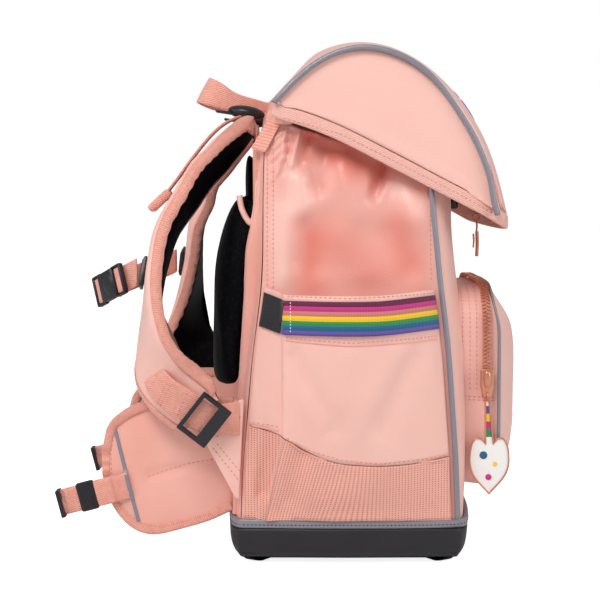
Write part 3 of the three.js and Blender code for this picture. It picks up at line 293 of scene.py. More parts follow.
@dataclass(frozen=True)
class WovenTape:
    """Ribbed webbing, with its ribs in two directions across the tape."""

    name: str
    light: Shade
    deep: Shade
    rib: float = 1.3 * MM
    uv: bool = False
    turn: tuple[float, float, float] = (24.0, 24.0, 0.0)
    cross: float = 0.45

    def material(self) -> bpy.types.Material:
        """Builds the finish."""
        shading = Shading(self.name, 0.68)
        shading.set("Sheen Weight", 0.3)
        shading.set("Specular IOR Level", 0.3)
        vector = shading.place(self.uv, turn=self.turn)
        ribs = shading.waves(vector, self.rib, "Y" if self.uv else "Z")
        cross = shading.waves(vector, self.rib * 0.8, "X" if self.uv else "Y")
        weave = shading.sum(ribs, shading.sum(cross, self.cross, "MULTIPLY"))
        fleck = shading.sum(weave, shading.cloud(shading.place(), 0.004), "MULTIPLY")
        shading.tint(fleck, self.deep, self.light, 0.05, 0.75)
        shading.relief(weave, 0.00035, 0.8)
        return shading.material


@dataclass(frozen=True)
class StripedBand:
    """The band of even woven stripes, read across the cloth map from its top."""

    name: str
    stripes: tuple[Shade, ...]
    width: float

    def material(self) -> bpy.types.Material:
        """Builds the finish."""
        shading = Shading(self.name, 0.6)
        shading.set("Sheen Weight", 0.2)
        vector = shading.place(True)
        across = shading.node("ShaderNodeSeparateXYZ", {"Vector": vector}).outputs["Y"]
        share = shading.sum(across, 1 / self.width, "MULTIPLY")
        ramp = shading.node("ShaderNodeValToRGB", {"Fac": share})
        ramp.color_ramp.interpolation = "CONSTANT"
        elements = ramp.color_ramp.elements
        while len(elements) < len(self.stripes):
            elements.new(0.5)
        for i, stripe in enumerate(self.stripes):
            elements[i].position = i / len(self.stripes)
            elements[i].color = stripe.linear
        shading.feed(shading.shader.inputs["Base Color"], ramp.outputs["Color"])
        ribs = shading.waves(vector, self.width / len(self.stripes), "Y")
        threads = shading.waves(vector, 1.1 * MM, "X")
        shading.relief(shading.sum(ribs, shading.sum(threads, 0.4, "MULTIPLY")), 0.0004, 0.8)
        return shading.material


@dataclass(frozen=True)
class HoleMesh:
    """Perforated mesh: columns of small holes on the cloth map."""

    name: str
    cloth: Shade
    hole: Shade
    column: float = 2.3 * MM
    row: float = 1.7 * MM

    def material(self) -> bpy.types.Material:
        """Builds the finish."""
        shading = Shading(self.name, 0.62)
        shading.set("Sheen Weight", 0.25)
        vector = shading.place(True)
        columns = shading.waves(vector, self.column, "X")
        rows = shading.waves(vector, self.row, "Y")
        both = shading.sum(columns, rows, "MULTIPLY")
        shading.tint(both, self.cloth, self.hole, 0.5, 0.95)
        ribs = shading.sum(columns, 0.8, "MULTIPLY")
        shading.relief(shading.sum(ribs, both), -0.0004, 0.7)
        return shading.material


@dataclass(frozen=True)
class AirMesh:
    """Black spacer mesh on the pads, with a fine open honeycomb."""

    name: str
    cell: float = 2.6 * MM

    def material(self) -> bpy.types.Material:
        """Builds the finish."""
        shading = Shading(self.name, 0.6)
        shading.set("Specular IOR Level", 0.06)
        inputs = {"Vector": shading.place(), "Scale": 1 / self.cell}
        cells = shading.node("ShaderNodeTexVoronoi", inputs, feature="F1").outputs["Distance"]
        shading.tint(cells, Shade.BLACK, Shade.CHARCOAL, 0.5, 1.8)
        shading.relief(cells, 0.0003, 0.6)
        return shading.material


@dataclass(frozen=True)
class Moulded:
    """Moulded plastic with a fine grain."""

    name: str
    shade: Shade
    worn: Shade
    roughness: float = 0.45
    grain: float = 0.9 * MM

    def material(self) -> bpy.types.Material:
        """Builds the finish."""
        shading = Shading(self.name, self.roughness)
        vector = shading.place()
        shading.tint(shading.cloud(vector, 0.03), self.shade, self.worn, 0.35, 0.9)
        shading.relief(shading.cloud(vector, self.grain), 0.00015, 0.6)
        return shading.material


@dataclass(frozen=True)
class Reflective:
    """Grey reflective trim with fine cross ribs."""

    name: str

    def material(self) -> bpy.types.Material:
        """Builds the finish."""
        shading = Shading(self.name, 0.36, 0.25)
        vector = shading.place(turn=(45, 30, 0))
        ribs = shading.sum(shading.waves(vector, 0.9 * MM, "Y"), shading.waves(vector, 0.9 * MM, "Z"))
        shading.tint(ribs, Shade.GREY, Shade.GREY, 0.0, 1.0)
        shading.relief(ribs, 0.0001, 0.5)
        return shading.material


@dataclass(frozen=True)
class Metal:
    """Polished rose metal, with a faint change of polish."""

    name: str

    def material(self) -> bpy.types.Material:
        """Builds the finish."""
        shading = Shading(self.name, 0.3, 0.6)
        vector = shading.place()
        shading.tint(shading.cloud(vector, 0.012), Shade.ROSE, Shade.TAN, 0.3, 1.2)
        shading.relief(shading.cloud(vector, 0.0014), 0.00006, 0.4)
        return shading.material


@dataclass(frozen=True)
class Enamel:
    """Glossy enamel or print of one shade, slightly uneven."""

    name: str
    shade: Shade

    def material(self) -> bpy.types.Material:
        """Builds the finish."""
        shading = Shading(self.name, 0.25)
        shading.set("Coat Weight", 0.3)
        vector = shading.place()
        shading.tint(shading.cloud(vector, 0.02), self.shade, self.shade, 0.0, 1.0)
        shading.relief(shading.cloud(vector, 0.004), 0.00008, 0.4)
        return shading.material


STRIPES = (Shade.BURGUNDY, Shade.MAGENTA, Shade.TAN, Shade.YELLOW, Shade.GREEN, Shade.TEAL, Shade.PURPLE)
BAND_WIDTH = 25 * MM


class Recipe(Protocol):
    """A finish's sizes and colours, from which its material is built."""

    def material(self) -> bpy.types.Material:
        """Builds the finish."""


def made_by(recipe: Recipe) -> bpy.types.Material:
    """A field that a recipe fills."""
    return field(default_factory=recipe.material)


@dataclass
class Finishes:
    """Every material of the bag, made once."""

    blush: bpy.types.Material = made_by(CoatedCloth("blush_cloth", Shade.BLUSH, Shade.CORAL))
    coral: bpy.types.Material = made_by(CoatedCloth("coral_cloth", Shade.CORAL, Shade.DEEP_CORAL, 0.38))
    # The side cloth: pale blush on the painted highlights, deep shadow coral in the painted shade.
    satin: bpy.types.Material = made_by(
        CoatedCloth("satin_cloth_painted_light", Shade.BLUSH, Shade.SHADOW_CORAL, 0.34, True)
    )
    tape: bpy.types.Material = made_by(WovenTape("pink_tape", Shade.TAPE, Shade.DEEP_CORAL))
    wrapped: bpy.types.Material = made_by(
        WovenTape("wrapped_tape", Shade.TAPE, Shade.DEEP_CORAL, uv=True, turn=(0, 0, 0))
    )
    ribbed: bpy.types.Material = made_by(
        WovenTape("ribbed_tape", Shade.BLUSH, Shade.DEEP_CORAL, 2.4 * MM, turn=(-14, 0, 0), cross=0.0)
    )
    chain_tape: bpy.types.Material = made_by(WovenTape("chain_tape", Shade.TAPE, Shade.DEEP_CORAL))
    binding: bpy.types.Material = made_by(WovenTape("binding_tape", Shade.BLUSH, Shade.CORAL))
    stripes: bpy.types.Material = made_by(StripedBand("striped_band", STRIPES, BAND_WIDTH))
    mesh: bpy.types.Material = made_by(HoleMesh("hole_mesh", Shade.MESH, Shade.HOLE))
    air: bpy.types.Material = made_by(AirMesh("air_mesh"))
    base: bpy.types.Material = made_by(Moulded("base_shell", Shade.CHARCOAL, Shade.SLATE, 0.5))
    plastic: bpy.types.Material = made_by(
        Moulded("buckle_plastic", Shade.CHARCOAL, Shade.SLATE, 0.36, 2 * MM)
    )
    elastic: bpy.types.Material = made_by(WovenTape("dark_elastic", Shade.SLATE, Shade.CHARCOAL, 0.9 * MM))
    grey: bpy.types.Material = made_by(Reflective("grey_trim"))
    # Stitches in a darker coral, which paints the shade of their holes.
    thread: bpy.types.Material = made_by(Moulded("coral_thread_painted_shade", Shade.THREAD, Shade.TAN, 0.8))
    dark_thread: bpy.types.Material = made_by(Moulded("dark_thread", Shade.SLATE, Shade.CHARCOAL, 0.8))
    rose: bpy.types.Material = made_by(Metal("rose_metal"))
    white: bpy.types.Material = made_by(Enamel("white_enamel", Shade.WHITE))
    purple: bpy.types.Material = made_by(Enamel("purple_patch", Shade.PURPLE))
    green: bpy.types.Material = made_by(Enamel("green_patch", Shade.GREEN))
    teal: bpy.types.Material = made_by(Enamel("teal_patch", Shade.TEAL))
    yellow: bpy.types.Material = made_by(Enamel("yellow_patch", Shade.YELLOW))
    magenta: bpy.types.Material = made_by(Enamel("magenta_patch", Shade.MAGENTA))


def sharp_edges(shape: bmesh.types.BMesh, degrees: float) -> list[bmesh.types.BMEdge]:
    """The edges whose two faces turn by more than an angle."""
    limit = math.radians(degrees)
    return [edge for edge in shape.edges if len(edge.link_faces) == 2 and edge.calc_face_angle() > limit]


def merged_copy(node: str) -> bmesh.types.BMesh:
    """A node's solid with its corners merged and its triangles joined to quads."""
    shape = bmesh.new()
    shape.from_mesh(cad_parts[node].data)
    bmesh.ops.remove_doubles(shape, verts=shape.verts[:], dist=WELD)
    bmesh.ops.join_triangles(
        shape,
        faces=shape.faces[:],
        angle_face_threshold=math.radians(38),
        angle_shape_threshold=math.radians(80),
    )
    return shape


def settled(
    shape: bmesh.types.BMesh, modifiers: Sequence[tuple[str, dict[str, object]]]
) -> bmesh.types.BMesh:
    """Applies modifiers to a shape.

    Args:
        shape: the shape, which is used up.
        modifiers: each modifier's type with its settings.

    Returns:
        The new shape.
    """
    mesh = bpy.data.meshes.new("rough")
    shape.to_mesh(mesh)
    shape.free()
    holder = bpy.data.objects.new("rough", mesh)
    bpy.context.scene.collection.objects.link(holder)
    for kind, settings in modifiers:
        modifier = holder.modifiers.new(kind, kind)
        for key, value in settings.items():
            setattr(modifier, key, value)
    graph = bpy.context.evaluated_depsgraph_get()
    finished = bpy.data.meshes.new_from_object(holder.evaluated_get(graph))
    result = bmesh.new()
    result.from_mesh(finished)
    bpy.data.objects.remove(holder)
    bpy.data.meshes.remove(mesh)
    bpy.data.meshes.remove(finished)
    return result


def soft_copy(node: str, levels: int = 2, hold: float = 0.8, sharp: float = 42.0) -> bmesh.types.BMesh:
    """A node's solid, subdivided with its rims held.

    Args:
        node: the node's name.
        levels: how often it is subdivided.
        hold: how far the rims keep their corner, from 0 to 1.
        sharp: the angle from which an edge is a rim, in degrees.

    Returns:
        The dense shape.
    """
    shape = merged_copy(node)
    crease = shape.edges.layers.float.new("crease_edge")
    for edge in sharp_edges(shape, sharp):
        edge[crease] = hold
    return settled(shape, [("SUBSURF", {"levels": levels, "render_levels": levels})])


def hard_copy(node: str, bevel: float) -> bmesh.types.BMesh:
    """A node's solid with its sharp edges bevelled, in millimetres."""
    shape = bmesh.new()
    shape.from_mesh(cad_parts[node].data)
    bmesh.ops.remove_doubles(shape, verts=shape.verts[:], dist=WELD)
    bmesh.ops.dissolve_limit(shape, angle_limit=math.radians(2), verts=shape.verts[:], edges=shape.edges[:])
    round_edges(shape, sharp_edges(shape, 25), bevel)
    return shape


def round_edges(shape: bmesh.types.BMesh, edges: Sequence[bmesh.types.BMEdge], width: float) -> None:
    """Rounds edges of a shape by a width in millimetres."""
    bmesh.ops.bevel(
        shape,
        geom=edges,
        offset=width * MM,
        affect="EDGES",
        segments=3,
        profile=0.5,
        material=-1,
        clamp_overlap=True,
    )


def sculpt(shape: bmesh.types.BMesh, shift: Shift) -> bmesh.types.BMesh:
    """Moves every vertex by a shift, given its place and normal, all in millimetres."""
    shape.normal_update()
    moves = [shift(vert.co / MM, vert.normal) for vert in shape.verts]
    for vert, move in zip(shape.verts, moves):
        vert.co += move * MM
    return shape


def refined(shape: bmesh.types.BMesh, inside: Callable[[Vector], bool], times: int = 1) -> bmesh.types.BMesh:
    """Subdivides a shape where a place, in millimetres, is inside a region."""
    for _ in range(times):
        edges = [edge for edge in shape.edges if all(inside(vert.co / MM) for vert in edge.verts)]
        bmesh.ops.subdivide_edges(shape, edges=edges, cuts=1, use_grid_fill=True)
    return shape


def painted_light(shape: bmesh.types.BMesh, tone_and_painted_light: Callable[[Vector], float]) -> bmesh.types.BMesh:
    """Writes a painted light tone from 0 to 1 on every vertex, for a finish to read: low for painted shade,
    high for painted highlight.
    """
    layer = shape.verts.layers.float.new("tone_and_painted_light")
    for vert in shape.verts:
        vert[layer] = min(1.0, max(0.0, tone_and_painted_light(vert.co / MM)))
    return shape


def tucked(point: Vector) -> Vector:
    """The shift that keeps the panels' feet inside the tray."""
    return Vector((point.x, point.y, 0)).normalized() * -6 * ease((31 - point.z) / 12)


def swell(shape: bmesh.types.BMesh, amount: float) -> bmesh.types.BMesh:
    """Moves a shape's surface out along its normals, in millimetres."""
    return sculpt(shape, lambda point, normal: normal * amount)


def cloth_grid(place: Place, columns: int, rows: int, size: tuple[float, float]) -> bmesh.types.BMesh:
    """A grid of quads that place lays out, with a cloth map in metres.

    Args:
        place: gives the point, in metres, for u and v from 0 to 1.
        columns: cells along u.
        rows: cells along v.
        size: the cloth's width along u and length along v, in metres.

    Returns:
        The shape, its doubles merged.
    """
    shape = bmesh.new()
    bmesh.ops.create_grid(shape, x_segments=columns, y_segments=rows, size=0.5)
    layer = shape.loops.layers.uv.new("cloth")
    for face in shape.faces:
        for loop in face.loops:
            loop[layer].uv = ((loop.vert.co.x + 0.5) * size[0], (loop.vert.co.y + 0.5) * size[1])
    for vert in shape.verts:
        vert.co = place(vert.co.x + 0.5, vert.co.y + 0.5)
    bmesh.ops.remove_doubles(shape, verts=shape.verts[:], dist=WELD)
    return shape


def stuffed(
    shape: bmesh.types.BMesh, shrink: float, cap: float, held: Callable[[Vector], bool], pressure: float = 4.0
) -> bmesh.types.BMesh:
    """Swells a pad by a short cloth simulation, so that its cover pulls tight over its filling.

    Args:
        shape: the pad, which is used up.
        shrink: how far it is drawn in first, in millimetres.
        cap: how far a point may move, in millimetres.
        held: tells whether a point, in millimetres, is sewn down.
        pressure: the filling's pressure.
    """
    swell(shape, -shrink)
    rough = settled(shape, [("REMESH", {"mode": "VOXEL", "voxel_size": 4.5 * MM})])
    bmesh.ops.smooth_vert(
        rough, verts=rough.verts[:], factor=0.5, use_axis_x=True, use_axis_y=True, use_axis_z=True
    )
    mesh = bpy.data.meshes.new("pad")
    rough.to_mesh(mesh)
    start = [vert.co.copy() for vert in mesh.vertices]
    holder = bpy.data.objects.new("pad", mesh)
    bpy.context.scene.collection.objects.link(holder)
    group = holder.vertex_groups.new(name="sewn")
    group.add([i for i, place in enumerate(start) if held(place / MM)], 1.0, "REPLACE")
    cloth = holder.modifiers.new("Cloth", "CLOTH")
    cloth.settings.use_pressure = True
    cloth.settings.uniform_pressure_force = pressure
    cloth.settings.vertex_group_mass = "sewn"
    cloth.settings.effector_weights.gravity = 0.0
    scene = bpy.context.scene
    for step in range(1, 21):
        scene.frame_set(step)
    graph = bpy.context.evaluated_depsgraph_get()
    moved = bpy.data.meshes.new_from_object(holder.evaluated_get(graph))
    rough.verts.ensure_lookup_table()
    for i, vert in enumerate(moved.vertices):
        shift = vert.co - start[i]
        rough.verts[i].co = start[i] + shift * min(1.0, cap * MM / max(shift.length, WELD))
    bpy.data.objects.remove(holder)
    bpy.data.meshes.remove(mesh)
    bpy.data.meshes.remove(moved)
    scene.frame_set(1)
    return settled(rough, [("SUBSURF", {"levels": 1, "render_levels": 1})])


def outwards(shape: bmesh.types.BMesh) -> bmesh.types.BMesh:
    """Closes a shape's open ends and points its faces out."""
    holes = [edge for edge in shape.edges if edge.is_boundary]
    bmesh.ops.holes_fill(shape, edges=holes, sides=0)
    bmesh.ops.recalc_face_normals(shape, faces=shape.faces[:])
    return shape


def piece(
    name: str,
    shape: bmesh.types.BMesh,
    finish: bpy.types.Material | Sequence[bpy.types.Material],
    stands_for: Iterable[str] = (),
    smooth: float = 60.0,
) -> bpy.types.Object:
    """Makes a piece of the bag from a shape.

    Args:
        name: the piece's name.
        shape: the shape, which is used up.
        finish: its material, or several that its faces name by number.
        stands_for: the nodes that it replaces.
        smooth: the angle up to which faces are shaded smooth, in degrees.

    Returns:
        The new object.
    """
    mesh = bpy.data.meshes.new(name)
    shape.to_mesh(mesh)
    shape.free()
    mesh.shade_smooth()
    mesh.set_sharp_from_angle(angle=math.radians(smooth))
    for material in [finish] if isinstance(finish, bpy.types.Material) else finish:
        mesh.materials.append(material)
    made = bpy.data.objects.new(name, mesh)
    bpy.context.scene.collection.objects.link(made)
    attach(made, BODY)
    for node in stands_for:
        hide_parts(node)
    return made


def node_axes(node: str) -> Matrix:
    """The frame of a flat fitting: its length on X, its width on Y and its outer face on Z."""
    shape = bmesh.new()
    shape.from_mesh(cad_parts[node].data)
    bmesh.ops.remove_doubles(shape, verts=shape.verts[:], dist=WELD)
    bmesh.ops.dissolve_limit(shape, angle_limit=math.radians(2), verts=shape.verts[:], edges=shape.edges[:])
    largest = max(shape.faces, key=lambda face: face.calc_area())
    edge = max(largest.edges, key=lambda each: each.calc_length())
    along = (edge.verts[1].co - edge.verts[0].co).normalized()
    out, middle = largest.normal.copy(), largest.calc_center_median()
    shape.free()
    if out.dot(Vector((middle.x, middle.y, 0))) < 0:
        out.negate()
    axes = Matrix((along, out.cross(along), out)).transposed().to_4x4()
    axes.translation = middle
    return axes


def block(
    shape: bmesh.types.BMesh,
    axes: Matrix,
    centre: tuple[float, float, float],
    size: tuple[float, float, float],
    bevel: float = 0.5,
) -> None:
    """Adds a block with rounded edges to a shape.

    Args:
        shape: the shape that gathers the blocks.
        axes: the frame that the block is placed in.
        centre: its middle in that frame, in millimetres.
        size: its sizes in that frame, in millimetres.
        bevel: the rounding of its edges, in millimetres.
    """
    matrix = axes @ Matrix.Translation(Vector(centre) * MM) @ Matrix.Diagonal((*size, 1)).to_4x4()
    made = bmesh.ops.create_cube(shape, size=MM, matrix=matrix)
    round_edges(shape, list({edge for vert in made["verts"] for edge in vert.link_edges}), bevel)


def on_path(points: Sequence[Vector], t: float) -> Vector:
    """A point on a smooth curve through points, for t from 0 to 1."""
    place = min(1.0, max(0.0, t)) * (len(points) - 1)
    i = min(len(points) - 2, int(place))
    u = place - i
    before, start, end = points[max(0, i - 1)], points[i], points[i + 1]
    after = points[min(len(points) - 1, i + 2)]
    return smooth_step(start, (end - before) / 2, end, (after - start) / 2, u)


def along_path(points: Sequence[Vector], steps: int = 60) -> list[tuple[Vector, Vector]]:
    """Even places on a smooth curve through points, each with the curve's direction there."""
    places = []
    for i in range(steps + 1):
        here, ahead, behind = (on_path(points, (i + j) / steps) for j in (0, 1, -1))
        places.append((here, (ahead - behind).normalized()))
    return places


@dataclass(frozen=True)
class Fold:
    """A ridge, or with a negative height a dent, along a line on a panel, in millimetres."""

    start: tuple[float, float]
    end: tuple[float, float]
    width: float
    height: float

    def rise(self, across: float, up: float) -> float:
        """How far the fold lifts the cloth at a place."""
        along = (self.end[0] - self.start[0], self.end[1] - self.start[1])
        length = along[0] ** 2 + along[1] ** 2
        dot = (across - self.start[0]) * along[0] + (up - self.start[1]) * along[1]
        t = min(1.0, max(0.0, dot / length)) if length else 0.0
        gap = math.hypot(across - self.start[0] - along[0] * t, up - self.start[1] - along[1] * t)
        return self.height * math.exp(-((gap / self.width) ** 2))


@dataclass(frozen=True)
class Step:
    """A folded edge on a panel, behind which the cloth lies deeper, in millimetres."""

    top: tuple[float, float]
    foot: tuple[float, float]
    lip: float = 1.6
    depth: float = 4.6
    reach: float = 20.0

    def rise(self, across: float, up: float) -> float:
        """How far the cloth is lifted at a place."""
        t = (up - self.foot[1]) / (self.top[1] - self.foot[1])
        gap = across - blend(self.foot[0], self.top[0], t)
        shown = ease((t + 0.06) / 0.12) * ease((1.1 - t) / 0.1)
        if gap < 0:
            return self.lip * math.exp(-((gap / 8) ** 2)) * shown
        behind = self.lip - (self.lip + self.depth) * ease(gap / 2.2)
        return (behind + self.depth * ease((gap - 6) / self.reach)) * shown


def folded(folds: Sequence[Fold | Step], across: float, up: float) -> float:
    """The lift of several folds at a place."""
    return sum(fold.rise(across, up) for fold in folds)


def ripple(point: Vector, size: float) -> float:
    """Smooth noise from -1 to 1 with features of a size in millimetres."""
    return noise.noise(point / size)


class Surface:
    """What stitches and trim are laid on: the finished faces of some pieces."""

    def __init__(self, *objects: bpy.types.Object) -> None:
        """Gathers the pieces' faces.

        Args:
            objects: the pieces.
        """
        shape = bmesh.new()
        for made in objects:
            shape.from_mesh(made.data)
        self.tree = BVHTree.FromBMesh(shape)
        shape.free()

    def drop(self, start: Vector, direction: Vector) -> tuple[Vector, Vector] | None:
        """The place and normal where a ray from a point, both in metres, meets the surface."""
        place, normal, _, _ = self.tree.ray_cast(start, direction)
        return None if place is None else (place, normal)


@dataclass(frozen=True)
class Stitching:
    """Sizes of a row of stitches, in millimetres."""

    length: float = 2.4
    pitch: float = 3.6
    radius: float = 0.42
    lift: float = 0.1

    def sew(self, shape: bmesh.types.BMesh, row: Sequence[tuple[Vector, Vector]]) -> None:
        """Adds the stitches of one row to a shape.

        Args:
            shape: the shape that gathers the stitches.
            row: places with their normals, in metres.
        """
        travelled, due = 0.0, self.pitch * MM / 2
        for (start, normal), (end, _) in zip(row, row[1:]):
            step = (end - start).length
            while step > 0 and due <= travelled + step:
                place = start.lerp(end, (due - travelled) / step) + normal * self.lift * MM
                self.stitch(shape, place, (end - start).normalized(), normal)
                due += self.pitch * MM
            travelled += step

    def stitch(self, shape: bmesh.types.BMesh, place: Vector, along: Vector, normal: Vector) -> None:
        """Adds one stitch at a place, along a direction."""
        side = along.cross(normal).normalized()
        up = side.cross(along)
        turn = Matrix((along, side, up)).transposed().to_4x4()
        size = Matrix.Diagonal((self.length / 2, self.radius, self.radius, 1))
        matrix = Matrix.Translation(place) @ turn @ size.to_4x4()
        bmesh.ops.create_icosphere(shape, subdivisions=1, radius=MM, matrix=matrix)


@dataclass(frozen=True)
class Station:
    """A place on a band: its point, its width and face directions and its half sizes, in millimetres."""

    point: Vector
    across: Vector
    face: Vector
    half_width: float
    half_wall: float


def rolled_band(stations: Sequence[Station], around: int = 16, rounding: float = 0.3) -> bmesh.types.BMesh:
    """A closed band through stations, with a cloth map.

    Args:
        stations: the band's sections, in order.
        around: corners of its section.
        rounding: 1 for a round section and near 0 for a square one.

    Returns:
        The band.
    """
    steps = len(stations) - 1
    length = sum((b.point - a.point).length for a, b in zip(stations, stations[1:])) * MM

    def place(u: float, v: float) -> Vector:
        """A place on the band."""
        station = stations[round(v * steps)]
        angle = 2 * math.pi * (u + 0.5 / around)
        wide = math.copysign(abs(math.cos(angle)) ** rounding, math.cos(angle))
        high = math.copysign(abs(math.sin(angle)) ** rounding, math.sin(angle))
        point = station.point + station.across * wide * station.half_width
        return (point + station.face * high * station.half_wall) * MM

    girth = 4 * (stations[0].half_width + stations[0].half_wall) * MM
    return outwards(cloth_grid(place, around, steps, (girth, length)))


def laid_ribbon(
    surface: Surface, points: Sequence[Vector], direction: Vector, width: float, wall: float, steps: int = 50
) -> bmesh.types.BMesh:
    """A flat ribbon that lies on a surface, its sizes in millimetres.

    Args:
        surface: what it lies on.
        points: its corners, in metres, off the surface.
        direction: the way they are dropped on it.
        width: the ribbon's width.
        wall: its thickness.
        steps: its sections.

    Returns:
        The ribbon.
    """
    row = evened(laid_row(surface, points, direction, steps))
    stations = []
    for i, (place, normal) in enumerate(row):
        along = (row[min(len(row) - 1, i + 1)][0] - row[max(0, i - 1)][0]).normalized()
        across = along.cross(normal).normalized()
        stations.append(Station(place / MM + normal * wall * 0.4, across, normal, width / 2, wall / 2))
    return rolled_band(stations)


def laid_row(surface: Surface, points: Sequence[Vector], direction: Vector, steps: int = 60):
    """A line of places on a surface.

    Args:
        surface: what the line is laid on.
        points: the line's corners, in metres, off the surface.
        direction: the way they are dropped on it.
        steps: how many places are taken on the whole line.

    Returns:
        Places with their normals.
    """
    row = []
    lengths = [(b - a).length for a, b in zip(points, points[1:])]
    total = sum(lengths)
    for i in range(steps + 1):
        want = total * i / steps
        k = 0
        while k < len(lengths) - 1 and want > lengths[k]:
            want -= lengths[k]
            k += 1
        start = points[k].lerp(points[k + 1], min(1.0, want / lengths[k]))
        found = surface.drop(start, direction)
        if found:
            row.append(found)
    return row


def evened(row: Sequence[tuple[Vector, Vector]], times: int = 4) -> list[tuple[Vector, Vector]]:
    """A row of places and normals with its kinks smoothed, its ends kept."""
    row = list(row)
    for _ in range(times):
        inner = [
            ((a[0] + b[0] * 2 + c[0]) / 4, (a[1] + b[1] * 2 + c[1]).normalized())
            for a, b, c in zip(row, row[1:], row[2:])
        ]
        row = [row[0], *inner, row[-1]]
    return row


def side_points(side: Side, places: Sequence[tuple[float, float]]) -> list[Vector]:
    """Points well outside one side of the bag, from places over y and z in millimetres."""
    return [point_mm(side.value * 300, y, z) for y, z in places]


def inwards(side: Side) -> Vector:
    """The direction from outside one side towards the bag's middle."""
    return Vector((-side.value, 0, 0))


def side_stitches(
    name: str,
    side: Side,
    surface: Surface,
    rows: Sequence[Sequence[tuple[float, float]]],
    finish: bpy.types.Material,
    stitching: Stitching = Stitching(),
) -> bpy.types.Object:
    """Rows of stitches on one side of the bag.

    Args:
        name: the piece's name.
        side: which side of the bag.
        surface: what they are sewn on.
        rows: each row's corners over y and z, in millimetres.
        finish: the thread's material.
        stitching: the stitches' sizes.

    Returns:
        The piece that holds every stitch.
    """
    shape = bmesh.new()
    for row in rows:
        stitching.sew(shape, laid_row(surface, side_points(side, row), inwards(side)))
    return piece(name, shape, finish)


@dataclass
class Base:
    """The moulded tray and the reflective binding above it."""

    finishes: Finishes
    stitch_height: float = 31.5
    stitch_reach: float = 400.0
    stitch_places: int = 240

    def build(self) -> None:
        """Makes the tray, the binding and the binding's dark stitches."""
        piece("moulded_tray", soft_copy("base_tray", 2, 0.55, 35), self.finishes.base, ["base_tray"])
        ring = piece("tray_binding", soft_copy("base_binding", 2, 0.7), self.finishes.grey, ["base_binding"])
        surface = Surface(ring)
        row = []
        for i in range(self.stitch_places + 1):
            angle = 2 * math.pi * i / self.stitch_places
            outside = Vector((math.cos(angle), math.sin(angle), 0))
            start = outside * self.stitch_reach * MM + point_mm(0, 0, self.stitch_height)
            found = surface.drop(start, -outside)
            if found:
                row.append(found)
        shape = bmesh.new()
        Stitching(1.8, 3.0, 0.4).sew(shape, row)
        piece("binding_stitches", shape, self.finishes.dark_thread)


